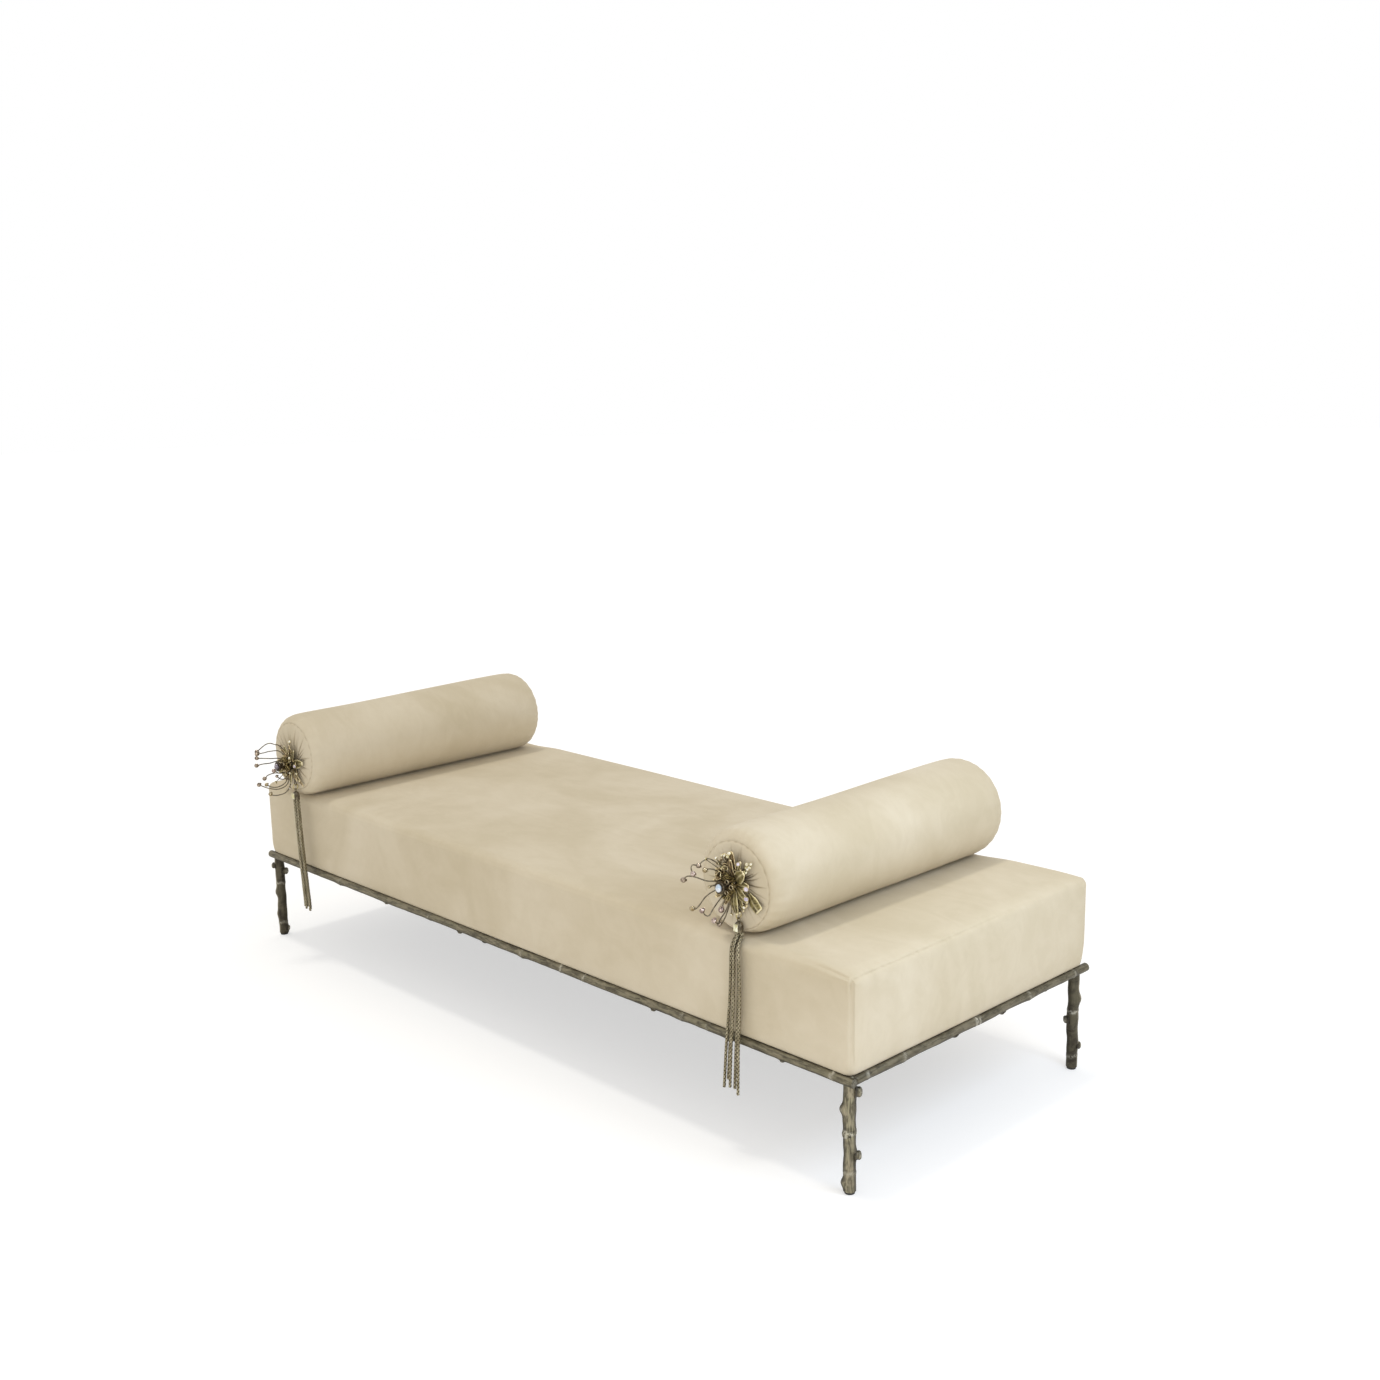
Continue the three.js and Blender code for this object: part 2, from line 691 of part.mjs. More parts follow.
function bolsterButton() {
  const profile = [
    new THREE.Vector2(0, -studLength),
    new THREE.Vector2(studRadius, -studLength),
    new THREE.Vector2(studRadius, 0),
    new THREE.Vector2(buttonRadius, 0),
    new THREE.Vector2(buttonRadius * 0.86, buttonHeight * 0.6),
    new THREE.Vector2(buttonRadius * 0.5, buttonHeight * 0.92),
    new THREE.Vector2(0, buttonHeight),
  ];
  return new THREE.LatheGeometry(profile, 14);
}

// Places on an ornament: across, out of the bolster's end, and up from its middle
function place(across, out, up) {
  return new THREE.Vector3(across, -out, up);
}

// A turned piece about the ornament's axis, from radius and height out of the bolster's end
function turned(profile, sides) {
  return new THREE.LatheGeometry(profile.map(([radius, out]) => new THREE.Vector2(radius, out)), sides)
    .rotateX(Math.PI);
}

function hub(out, outerRadius, height) {
  const bore = postRadius + touchGap;
  return turned([
    [bore, out],
    [outerRadius, out],
    [outerRadius, out + height],
    [bore, out + height],
    [bore, out],
  ], 10);
}

const discBack = -(endPuff * 0.35 - pleatDepth) - discThickness / 2;
const discFront = discBack + discThickness;
const leafHubOut = discFront + touchGap;
const stamenHubOut = leafHubOut + hubHeight + touchGap;
const tubeHubOut = stamenHubOut + stamenHubHeight + touchGap;
const hubRadius = postRadius + touchGap + hubWall;
const pivotGap = 2 * eyeWire + touchGap;

// The back plate with its stud and post, and the arm and eye that carry the tassel
function ornamentPlate(eye) {
  const plate = turned([
    [0, discBack - studLength],
    [studRadius, discBack - studLength],
    [studRadius, discBack],
    [discRadius, discBack],
    [discRadius, discFront],
    [postRadius, discFront],
    [postRadius, discFront + postLength],
    [0, discFront + postLength],
  ], 12);
  const armStart = place(0, discFront - discThickness / 2, -discRadius * 0.9);
  const armBend = place(eye.across * 0.4, discFront + 3 * dropArmRadius, -discRadius * 1.8);
  const armEnd = place(eye.across, eye.out, eye.up + eyeRadius);
  const arm = bar(new THREE.CatmullRomCurve3([armStart, armBend, armEnd]), dropArmRadius, 6, 5);
  const loop = new THREE.TorusGeometry(eyeRadius, eyeWire, 5, 12)
    .rotateX(Math.PI / 2)
    .translate(eye.across, -eye.out, eye.up);
  return join([plate, arm, loop]);
}

// A leaf from the hub towards an angle in the end's plane, rising away from the cushion
function leaf(angle, reachShare, riseShare, widthShare) {
  const turn = THREE.MathUtils.degToRad(angle);
  const reach = leafReach * reachShare;
  const steps = 4;
  const rings = [];
  const half = leafThickness / 2;
  const start = hubRadius - hubWall / 2;
  for (let i = 0; i <= steps; i += 1) {
    const share = i / steps;
    const along = start + (reach - start) * share;
    const width = (leafWidth / 2) * widthShare * Math.max(0.16, Math.sin(Math.PI * (0.12 + 0.8 * share)));
    const rise = hubHeight / 2 + reach * riseShare * share ** 1.6;
    const point = (side, lift) => place(
      along * Math.cos(turn) - side * Math.sin(turn),
      leafHubOut + rise + lift,
      along * Math.sin(turn) + side * Math.cos(turn),
    );
    rings.push([
      point(width, 0),
      point(0, half),
      point(-width, 0),
      point(0, -half),
    ]);
  }
  const middle = (ring) => ring[0].clone().add(ring[2]).multiplyScalar(0.5);
  return skin(rings, middle(rings[0]), middle(rings[steps]));
}

function leafSpray(leafShares) {
  const leaves = leafShares.map((row) => leaf(...row));
  return join([hub(leafHubOut, hubRadius, hubHeight), ...leaves]);
}

// Curved wires that end in balls. Tips are shares of the stamens' reach: across, out and up.
function stamens(tipShares) {
  const start = hubRadius - hubWall / 2;
  const out = stamenHubOut + stamenHubHeight * 0.3;
  const pieces = [hub(stamenHubOut, hubRadius, stamenHubHeight)];
  for (const [acrossShare, outShare, upShare] of tipShares) {
    const tip = place(acrossShare * stamenReach, outShare * stamenReach, upShare * stamenReach);
    const turn = Math.atan2(upShare, acrossShare);
    const away = (radius, height) => place(radius * Math.cos(turn), height, radius * Math.sin(turn));
    const sideways = Math.max(Math.hypot(tip.x, tip.z), settingRadius + 3 * stamenWire);
    const route = new THREE.CatmullRomCurve3([
      away(start, out),
      away(settingRadius + 3 * stamenWire, out + stamenWire * 0.5),
      away((settingRadius + sideways) * 0.62, out + (outShare * stamenReach - out) * 0.45),
      tip,
    ]);
    pieces.push(bar(route, stamenWire, 4, 4));
    pieces.push(new THREE.SphereGeometry(stamenBallRadius, 6, 4).translate(tip.x, tip.y, tip.z));
  }
  return join(pieces);
}

function tubeCluster(turns) {
  const pieces = [hub(tubeHubOut, hubRadius, hubHeight)];
  for (const angle of turns) {
    const turn = THREE.MathUtils.degToRad(angle);
    const tube = turned([
      [0, tubeHubOut + hubHeight * 0.9],
      [tubeRadius, tubeHubOut + hubHeight * 0.9],
      [tubeRadius, tubeHubOut + hubHeight + tubeLength],
      [tubeBore, tubeHubOut + hubHeight + tubeLength],
      [tubeBore, tubeHubOut + hubHeight],
      [0, tubeHubOut + hubHeight],
    ], 8).translate(tubeCircle * Math.cos(turn), 0, tubeCircle * Math.sin(turn));
    pieces.push(tube);
  }
  const postRoom = turned([
    [0, tubeHubOut - cutOverrun],
    [postRadius + touchGap, tubeHubOut - cutOverrun],
    [postRadius + touchGap, tubeHubOut + tubeLength + hubHeight + cutOverrun],
    [0, tubeHubOut + tubeLength + hubHeight + cutOverrun],
  ], 10);
  return cut(join(pieces), [postRoom]);
}

const settingBack = discFront + postLength - settingDepth * 0.5;
const pearlOut = discFront + postLength + touchGap + settingDepth * 0.25 + pearlRadius;

function pearlSetting() {
  const bore = postRadius + touchGap;
  const floor = discFront + postLength + touchGap;
  const seat = pearlOut - pearlRadius - touchGap;
  return turned([
    [0, floor],
    [bore, floor],
    [bore, settingBack],
    [settingSleeve, settingBack],
    [settingSleeve, floor],
    [settingRadius, pearlOut - pearlRadius * 0.6],
    [settingRadius * 0.96, pearlOut - pearlRadius * 0.25],
    [pearlRadius + touchGap * 2, pearlOut - pearlRadius * 0.2],
    [pearlRadius * 0.85, seat + pearlRadius * 0.35],
    [pearlRadius * 0.45, seat],
    [0, seat - touchGap],
  ], 14);
}

// A ring through the ornament's eye, and the tassel's cap hanging on the ring
function tasselRing() {
  return new THREE.TorusGeometry(ringRadius, eyeWire, 5, 14).rotateY(Math.PI / 2);
}

function tasselCap() {
  const body = turnedUpright([
    [0, -capHeight],
    [capRadius, -capHeight],
    [capRadius, -capHeight * 0.35],
    [capRadius * 0.75, -capHeight * 0.12],
    [capRadius * 0.35, 0],
    [0, 0],
  ], 14);
  const loop = new THREE.TorusGeometry(capEyeRadius, eyeWire, 5, 12)
    .rotateX(Math.PI / 2)
    .translate(0, 0, capEyeRadius);
  return join([body, loop]);
}

function turnedUpright(profile, sides) {
  const outline = profile.map(([radius, height]) => new THREE.Vector2(radius, height));
  return new THREE.LatheGeometry(outline, sides).rotateX(Math.PI / 2);
}

// Each tassel's middle line under its cap, as points across, towards the front and down
const leftRoute = [
  [0, 0, 0], [0, 0, -8], [0, 0, -18], [0.5, 0.5, -36], [0.5, 1, -56], [1, 2, -78], [1, 2.5, -100],
  [2, 3, -124], [2.5, 3, -148], [3, 3, -172], [4, 3, -196], [5, 2, -222], [6, 2, -250], [7, 1, -278],
  [8, 1, -306],
];
const rightRoute = [
  [0, 0, 0], [0, 0, -2.5], [0, 0.3, -5], [0, 3.2, -9], [0, 9, -12], [-0.5, 15.8, -16.8],
  [-0.5, 22, -23.5], [-1, 26, -33], [-1, 28, -45], [-1, 28.5, -62], [-1.5, 28.5, -90],
  [-1.5, 28.5, -125], [-2, 28, -160], [-2, 28, -200], [-2.5, 27.5, -240], [-3, 27, -285],
  [-3, 27, -335],
];

// How wide the strands spread from the cap's underside to their ends, and where each one ends
const spreadShares = { across: 1.9, deep: 0.2 };
const strandEndShares = [1, 0.965, 0.985, 0.93, 0.975];

function strand(route, index) {
  const turn = (index / strandCount) * Math.PI * 2 + Math.PI / 10;
  const last = route.length - 1;
  const points = route.map(([across, front, down], i) => {
    const share = i / last;
    const before = route[Math.max(0, i - 1)];
    const after = route[Math.min(last, i + 1)];
    const slope = new THREE.Vector2(after[1] - before[1], before[2] - after[2]).normalize();
    const wide = strandCircle * (1 + spreadShares.across * share ** 1.5) * Math.cos(turn);
    const deep = strandCircle * (1 - spreadShares.deep * share) * Math.sin(turn);
    return new THREE.Vector3(
      across + wide,
      -front - deep * slope.y,
      down * (1 + (strandEndShares[index] - 1) * share) + deep * slope.x,
    );
  });
  return bar(new THREE.CatmullRomCurve3(points), strandDiameter / 2, 8, strandSteps);
}

const ornaments = {
  left: {
    centre: { across: -6, up: -21 },
    eye: { across: 24, out: 10, up: -49 },
    route: leftRoute,
    leaves: [[68, 0.95, 0.3, 1], [118, 0.8, 0.45, 0.9], [172, 0.75, 0.5, 0.8], [215, 0.85, 0.4, 0.8],
      [252, 0.9, 0.3, 0.9], [318, 1, 0.25, 1], [12, 0.9, 0.35, 1]],
    tips: [[-0.43, 0.8, 0.4], [-0.26, 0.9, 0.38], [-0.39, 0.84, 0.24], [-0.17, 0.98, 0.1],
      [0.15, 0.66, -0.05], [-0.38, 0.66, -0.36], [-0.26, 0.9, -0.46], [-0.22, 0.7, -0.49],
      [-0.19, 0.62, -0.76]],
    tubes: [90, 212, 305],
  },
  right: {
    centre: { across: 0, up: 0 },
    eye: { across: 20, out: 13, up: -51 },
    route: rightRoute,
    leaves: [[100, 1.15, 0.3, 1], [140, 0.8, 0.45, 0.8], [178, 0.75, 0.5, 0.8], [222, 0.85, 0.45, 0.8],
      [322, 1.05, 0.25, 1], [8, 0.95, 0.3, 1], [48, 0.9, 0.35, 0.9]],
    tips: [[-0.55, 0.92, 0.16], [-0.33, 0.86, 0.32], [-0.36, 0.68, 0.44], [-0.24, 0.62, 0.36],
      [-0.52, 0.72, -0.48], [-0.18, 0.78, -0.43], [0.03, 0.66, -0.62], [-0.06, 0.42, -0.78],
      [-0.37, 0.48, 0.53]],
    tubes: [93, 6, 266],
  },
};

function bolster(side) {
  const ornament = ornaments[side];
  const group = new THREE.Group();
  group.add(named(`${side}_bolster_cover`, bolsterCover(ornament.centre), paint.velvet));
  group.add(named(`${side}_bolster_core`, bolsterCore(ornament.centre), paint.foam));
  const button = named(`${side}_bolster_button`, bolsterButton(), paint.velvet);
  button.position.set(0, bolsterLength + discBack, 0);
  group.add(button);

  const flower = new THREE.Group();
  flower.position.copy(place(ornament.centre.across, 0, ornament.centre.up));
  flower.add(named(`${side}_ornament_plate`, ornamentPlate(ornament.eye), paint.bronze));
  flower.add(named(`${side}_leaf_spray`, leafSpray(ornament.leaves), paint.brass));
  flower.add(named(`${side}_stamens`, stamens(ornament.tips), paint.bronze));
  flower.add(named(`${side}_tube_cluster`, tubeCluster(ornament.tubes), paint.brass));
  flower.add(named(`${side}_pearl_setting`, pearlSetting(), paint.bronze));
  const pearl = named(`${side}_pearl`, new THREE.SphereGeometry(pearlRadius, 10, 7), paint.pearl);
  pearl.position.copy(place(0, pearlOut, 0));
  flower.add(pearl);
  group.add(flower);

  const ring = named(`${side}_tassel_ring`, tasselRing(), paint.brass);
  const ringUp = ornament.eye.up - eyeRadius + pivotGap - ringRadius;
  ring.position.copy(place(ornament.eye.across, ornament.eye.out, ringUp));
  flower.add(ring);

  const tassel = new THREE.Group();
  const capTop = ringUp - ringRadius + pivotGap - 2 * capEyeRadius;
  tassel.position.copy(place(ornament.eye.across, ornament.eye.out, capTop));
  tassel.add(named(`${side}_tassel_cap`, tasselCap(), paint.brass));
  const strands = new THREE.Group();
  strands.position.set(0, 0, -capHeight - touchGap);
  for (let i = 0; i < strandCount; i += 1) {
    strands.add(named(`${side}_tassel_strand_${i + 1}`, strand(ornament.route, i), paint.braid));
  }
  tassel.add(strands);
  flower.add(tassel);
  return group;
}

const recamier = new THREE.Group();
recamier.name = 'recamier';
recamier.add(base());
recamier.add(seat());

const leftBolster = bolster('left');
leftBolster.position.set(
  -halfLength + leftBolsterFromEnd,
  -halfDepth + leftBolsterFromFace,
  bolsterAxisHeight,
);
recamier.add(leftBolster);

const rightBolster = bolster('right');
rightBolster.position.set(
  halfLength - rightBolsterFromEnd,
  -halfDepth + rightBolsterFromFace,
  bolsterAxisHeight,
);
recamier.add(rightBolster);

// The origin lies on the floor under the middle of the object's box, strands left out
recamier.updateMatrixWorld(true);
const extent = new THREE.Box3();
recamier.traverse((piece) => {
  if (piece.isMesh && !piece.name.includes('strand')) {
    extent.union(new THREE.Box3().setFromObject(piece, true));
  }
});
const middle = extent.getCenter(new THREE.Vector3());
recamier.position.set(-middle.x, -middle.y, -extent.min.z);
recamier.updateMatrixWorld(true);

export default recamier;
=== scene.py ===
# %% [markdown]
# # A recamier with two bolsters
# A recamier is a daybed without a back. This one is covered in pale velvet, stands on a cast
# metal base that looks like twigs, and carries a loose bolster at each end. A metal flower and
# a tassel of braided strands hang on each bolster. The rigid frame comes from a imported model,
# and this lesson dresses it. Everything is in metres, +X to the right, +Y to the back, +Z up.

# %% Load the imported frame
import math

import bmesh
import bpy
import numpy as np
from mathutils import Matrix, Vector


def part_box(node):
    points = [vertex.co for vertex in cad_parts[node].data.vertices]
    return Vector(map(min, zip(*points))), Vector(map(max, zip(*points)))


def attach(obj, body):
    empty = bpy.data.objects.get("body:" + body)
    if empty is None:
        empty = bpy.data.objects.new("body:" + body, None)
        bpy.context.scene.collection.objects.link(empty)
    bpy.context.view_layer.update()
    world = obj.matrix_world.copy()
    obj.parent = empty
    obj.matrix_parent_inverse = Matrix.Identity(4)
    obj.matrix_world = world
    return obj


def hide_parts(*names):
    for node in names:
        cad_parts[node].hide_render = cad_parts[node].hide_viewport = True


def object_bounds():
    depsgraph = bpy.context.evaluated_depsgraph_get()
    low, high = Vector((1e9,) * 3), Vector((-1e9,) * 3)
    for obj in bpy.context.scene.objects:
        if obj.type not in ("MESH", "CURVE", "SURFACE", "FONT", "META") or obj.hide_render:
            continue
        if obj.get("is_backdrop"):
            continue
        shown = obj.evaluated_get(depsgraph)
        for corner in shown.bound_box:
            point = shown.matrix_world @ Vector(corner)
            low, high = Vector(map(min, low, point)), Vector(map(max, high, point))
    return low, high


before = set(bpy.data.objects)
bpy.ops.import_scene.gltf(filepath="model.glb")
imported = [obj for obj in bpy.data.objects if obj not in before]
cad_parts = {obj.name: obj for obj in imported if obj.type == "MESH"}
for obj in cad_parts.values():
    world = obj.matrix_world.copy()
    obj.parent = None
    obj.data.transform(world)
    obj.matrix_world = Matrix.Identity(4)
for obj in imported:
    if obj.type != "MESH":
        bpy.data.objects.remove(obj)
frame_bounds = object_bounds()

MM = 0.001
print("frame", [round(x, 4) for corner in frame_bounds for x in corner])

# %% [markdown]
# ## The camera
# The photograph was taken from the front right, a little above the seat. Its place was solved
# from the straight edges of the base and the seat, so it is written as plain numbers. A camera
# that tracks a target would be shorter to write, but it can't carry the small roll.

# %% Camera
camera_place = Vector((2.90685, -2.52025, 1.58524))
camera_turn = -0.8039
camera_dip = 0.2036
camera_roll = -0.0197
camera_lens = 42.13
look = Vector((
    math.sin(camera_turn) * math.cos(camera_dip),
    math.cos(camera_turn) * math.cos(camera_dip),
    -math.sin(camera_dip),
))
level = Vector((math.cos(camera_turn), -math.sin(camera_turn), 0))
above = level.cross(look)
right = math.cos(camera_roll) * level + math.sin(camera_roll) * above
upward = -math.sin(camera_roll) * level + math.cos(camera_roll) * above
camera = bpy.data.objects.new("camera", bpy.data.cameras.new("camera"))
bpy.context.scene.collection.objects.link(camera)
camera.data.sensor_width = 36
camera.data.lens = camera_lens
camera.matrix_world = Matrix((
    (right.x, upward.x, -look.x, camera_place.x),
    (right.y, upward.y, -look.y, camera_place.y),
    (right.z, upward.z, -look.z, camera_place.z),
    (0, 0, 0, 1),
))
bpy.context.scene.camera = camera
print("camera looks along", [round(x, 3) for x in look])

# %% [markdown]
# ## Pieces from rings of points
# Nearly everything here is a skin over rings: a twig, a wire, a tube, a turned cup, a strand.
# A mesh primitive would give a perfect cylinder or ball, and rings can swell, bend and taper.
# A shell is a pair of points and faces, and a piece is one object made of a few shells.

# %% Skins over rings
def loft(rings, start_closed=True, end_closed=True, ring_closed=True):
    """A skin over rings of equal count, with a fan of triangles on each closed end."""
    rings = np.asarray(rings, float)
    bands, count = rings.shape[0] - 1, rings.shape[1]
    last = count if ring_closed else count - 1
    points = rings.reshape(-1, 3).tolist()
    faces = [
        (i * count + j, i * count + (j + 1) % count,
         (i + 1) * count + (j + 1) % count, (i + 1) * count + j)
        for i in range(bands) for j in range(last)
    ]
    for closed, ring in ((start_closed, 0), (end_closed, bands)):
        if closed:
            points.append(rings[ring].mean(axis=0).tolist())
            centre = len(points) - 1
            faces += [
                (ring * count + j, centre, ring * count + (j + 1) % count) for j in range(count)
            ]
    return points, faces


square_rings = [[(0, 0, z), (1, 0, z), (1, 1, z), (0, 1, z)] for z in (0, 1)]
print("a skin over two square rings has", len(loft(square_rings)[1]), "faces")


# %% Tubes along a path
def directions(path):
    """Unit steps along a path, and two directions across it that don't twist."""
    path = np.asarray(path, float)
    steps = np.gradient(path, axis=0)
    steps /= np.linalg.norm(steps, axis=1)[:, None]
    first = np.cross(steps[0], (0.31, 0.17, 0.93))
    first /= np.linalg.norm(first)
    sides = []
    for step in steps:
        first = first - step * (first @ step)
        first /= np.linalg.norm(first)
        sides.append(first)
    sides = np.array(sides)
    return steps, sides, np.cross(steps, sides)


tube_end = ((0.82, 0.35), (0.5, 0.6))


def tube(path, radii, sides=12):
    """A tube with round ends along a path, whose radius may change from point to point."""
    path = np.asarray(path, float)
    radii = np.broadcast_to(np.asarray(radii, float), len(path))
    steps, first, second = directions(path)
    turns = np.arange(sides) / sides * math.tau
    circle = np.cos(turns)[:, None], np.sin(turns)[:, None]
    rings = [
        path[i] + radii[i] * (first[i] * circle[0] + second[i] * circle[1])
        for i in range(len(path))
    ]
    for end, sign in ((0, -1), (-1, 1)):
        middle, radius = path[end], radii[end]
        cap = [
            middle + sign * steps[end] * radius * out
            + radius * girth * (first[end] * circle[0] + second[end] * circle[1])
            for girth, out in tube_end
        ]
        rings = cap[::-1] + rings if sign < 0 else rings + cap
    return loft(rings)


def bowed(points, count):
    """A smooth line through a few points (Catmull-Rom), as a list of many."""
    points = np.asarray(points, float)
    ends = np.vstack([2 * points[0] - points[1], points, 2 * points[-1] - points[-2]])
    line = []
    for share in np.linspace(0, len(points) - 1 - 1e-9, count):
        i = int(share)
        t = share - i
        a, b, c, d = ends[i:i + 4]
        line.append(0.5 * (
            2 * b + (c - a) * t + (2 * a - 5 * b + 4 * c - d) * t * t
            + (3 * b - a - 3 * c + d) * t ** 3
        ))
    return np.array(line)


arch = bowed([(0, 0, 0), (1, 0, 1), (2, 0, 0)], 9)
print("an arch through 3 points rises to", round(float(arch[:, 2].max()), 3))


# %% Pieces
def places(mesh, kind="co"):
    """The points of a mesh, or its normals, as rows of numbers."""
    values = np.empty(3 * len(mesh.vertices))
    mesh.vertices.foreach_get(kind, values)
    return values.reshape(-1, 3)


def marked(mesh, name, values):
    """Gives every point of a mesh a number, which its finish reads by name."""
    row = mesh.attributes.new(name, "FLOAT", "POINT")
    row.data.foreach_set("value", np.asarray(values, float))


def piece(name, shells, body, finish, stands_for=(), smooth=True, marks=None):
    """One object made of shells, which rides on a body and may stand for nodes of the frame."""
    points, faces = [], []
    for shell_points, shell_faces in shells:
        start = len(points)
        points += [tuple(point) for point in shell_points]
        faces += [tuple(i + start for i in face) for face in shell_faces]
    mesh = bpy.data.meshes.new(name)
    mesh.from_pydata(points, [], faces)
    for key, values in (marks or {}).items():
        marked(mesh, key, values)
    work = bmesh.new()
    work.from_mesh(mesh)
    bmesh.ops.recalc_face_normals(work, faces=work.faces)
    work.to_mesh(mesh)
    work.free()
    mesh.polygons.foreach_set("use_smooth", [smooth] * len(mesh.polygons))
    thing = bpy.data.objects.new(name, mesh)
    bpy.context.scene.collection.objects.link(thing)
    mesh.materials.append(finish)
    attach(thing, body)
    if stands_for:
        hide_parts(*stands_for)
    return thing


# %% [markdown]
# ## Writing finishes as sums
# A finish is a network of nodes, which is hard to read as a list of links. The class below wraps
# a socket, so that `1 - mask * 0.5` adds its Math nodes by itself. Colours are blended with
# Mix nodes, and every other node comes from `node`, with its settings first and sockets after.

# %% Wires
class Wire:
    """A socket of a finish. Sums on it add Math nodes."""

    def __init__(self, finish, socket):
        self.finish = finish
        self.socket = socket

    def math(self, operation, *values):
        return self.finish.node("ShaderNodeMath", {"operation": operation}, dict(enumerate(values)))

    def __add__(self, other):
        return self.math("ADD", self, other)

    def __sub__(self, other):
        return self.math("SUBTRACT", self, other)

    def __rsub__(self, other):
        return self.math("SUBTRACT", other, self)

    def __mul__(self, other):
        return self.math("MULTIPLY", self, other)

    __radd__ = __add__
    __rmul__ = __mul__

    def held(self, low=0.0, high=1.0):
        """The value, kept between two limits."""
        return self.math("MINIMUM", self.math("MAXIMUM", self, low), high)


print("a wire can be added, subtracted and multiplied, on either side of a number")


# %% Networks and finishes
class Network:
    """The nodes of a material or of the world."""

    def __init__(self, tree):
        self.tree = tree

    def node(self, kind, settings=None, sockets=None, output=0):
        made = self.tree.nodes.new(kind)
        for key, value in (settings or {}).items():
            if key == "stops":
                while len(made.color_ramp.elements) < len(value):
                    made.color_ramp.elements.new(0.5)
                for element, (place, colour) in zip(made.color_ramp.elements, value):
                    element.position = place
                    element.color = colour if len(colour) == 4 else (*colour, 1)
            else:
                setattr(made, key, value)
        for key, value in (sockets or {}).items():
            self.feed(made.inputs[key], value)
        return Wire(self, made.outputs[output])

    def feed(self, socket, value):
        if isinstance(value, Wire):
            self.tree.links.new(value.socket, socket)
        else:
            if hasattr(value, "__len__") and len(value) == 3 and socket.type == "RGBA":
                value = (*value, 1)
            socket.default_value = value


class Finish(Network):
    """A material, with its plain values set on the shader's own sockets."""

    def __init__(self, name, **plain):
        self.material = bpy.data.materials.new(name)
        self.material.use_nodes = True
        super().__init__(self.material.node_tree)
        self.shader = self.tree.nodes["Principled BSDF"]
        for key, value in plain.items():
            self.shader.inputs[key.replace("_", " ").title()].default_value = value

    def give(self, key, value):
        """Feeds one of the shader's sockets."""
        self.feed(self.shader.inputs[key], value)

    def place(self, stretch=(1, 1, 1)):
        """Where a point lies in its own object, stretched along the axes."""
        here = self.node("ShaderNodeTexCoord", output="Object")
        return self.node("ShaderNodeVectorMath", {"operation": "MULTIPLY"}, {0: here, 1: stretch})

    def noise(self, scale, detail=2.0, rough=0.5, warp=0.0, stretch=(1, 1, 1)):
        return self.node("ShaderNodeTexNoise", {}, {
            "Vector": self.place(stretch), "Scale": scale, "Detail": detail,
            "Roughness": rough, "Distortion": warp,
        })

    def spread(self, value, low, high):
        """A value turned into a share: 0 at low and below, 1 at high and above."""
        return self.node("ShaderNodeMapRange", {"interpolation_type": "SMOOTHSTEP"}, {
            "Value": value, "From Min": low, "From Max": high,
        })

    def blend(self, share, one, other, way="MIX"):
        """Two colours mixed by a share, or one laid over another."""
        made = self.tree.nodes.new("ShaderNodeMix")
        made.data_type = "RGBA"
        made.blend_type = way
        sockets = made.inputs[0], made.inputs[6], made.inputs[7]
        for socket, value in zip(sockets, (share, one, other)):
            self.feed(socket, value)
        return Wire(self, made.outputs[2])

    def mark(self, name):
        """A value that the mesh carries at its points."""
        return self.node("ShaderNodeAttribute", {"attribute_name": name}, output="Fac")

    def relief(self, height, distance, strength=1.0):
        self.give("Normal", self.node("ShaderNodeBump", {}, {
            "Height": height, "Distance": distance, "Strength": strength,
        }))


print("finishes are made by", Finish.__name__, "on a", Network.__name__)

# %% [markdown]
# ## Braided strands
# Each tassel is five braided cords of metal thread. A curve with a round bevel would be quick,
# but a braid shows its crossing plaits even from a step away. So each strand is a tube whose
# surface rises where a plait passes over.

# %% Braid finish
def braid_finish():
    """Metal thread, with painted shade between the plaits and a painted highlight on their crowns.
    """
    made = Finish("braided_metal_thread", metallic=0.55, roughness=0.45)
    plait = made.mark("plait")
    streak = made.noise(160, 2, stretch=(1, 1, 0.35))
    thread = made.blend(made.spread(streak, 0.35, 0.65), (0.3, 0.255, 0.155), (0.46, 0.405, 0.27))
    # Painted shade: the thread goes nearly black where it sinks between the plaits.
    dark = made.blend(made.spread(plait, 0.0, 0.7), (0.05, 0.037, 0.02), thread)
    # Painted highlight on the plaits' crowns, broken by streaks.
    painted_highlight = made.spread(plait, 0.7, 1.0) * made.spread(streak, 0.45, 0.7)
    made.give("Base Color", made.blend(painted_highlight * 0.75, dark, (0.7, 0.63, 0.44)))
    made.give("Roughness", 0.6 - plait * 0.22)
    return made.material


braid = braid_finish()
print(braid.name, "has", len(braid.node_tree.nodes), "nodes")

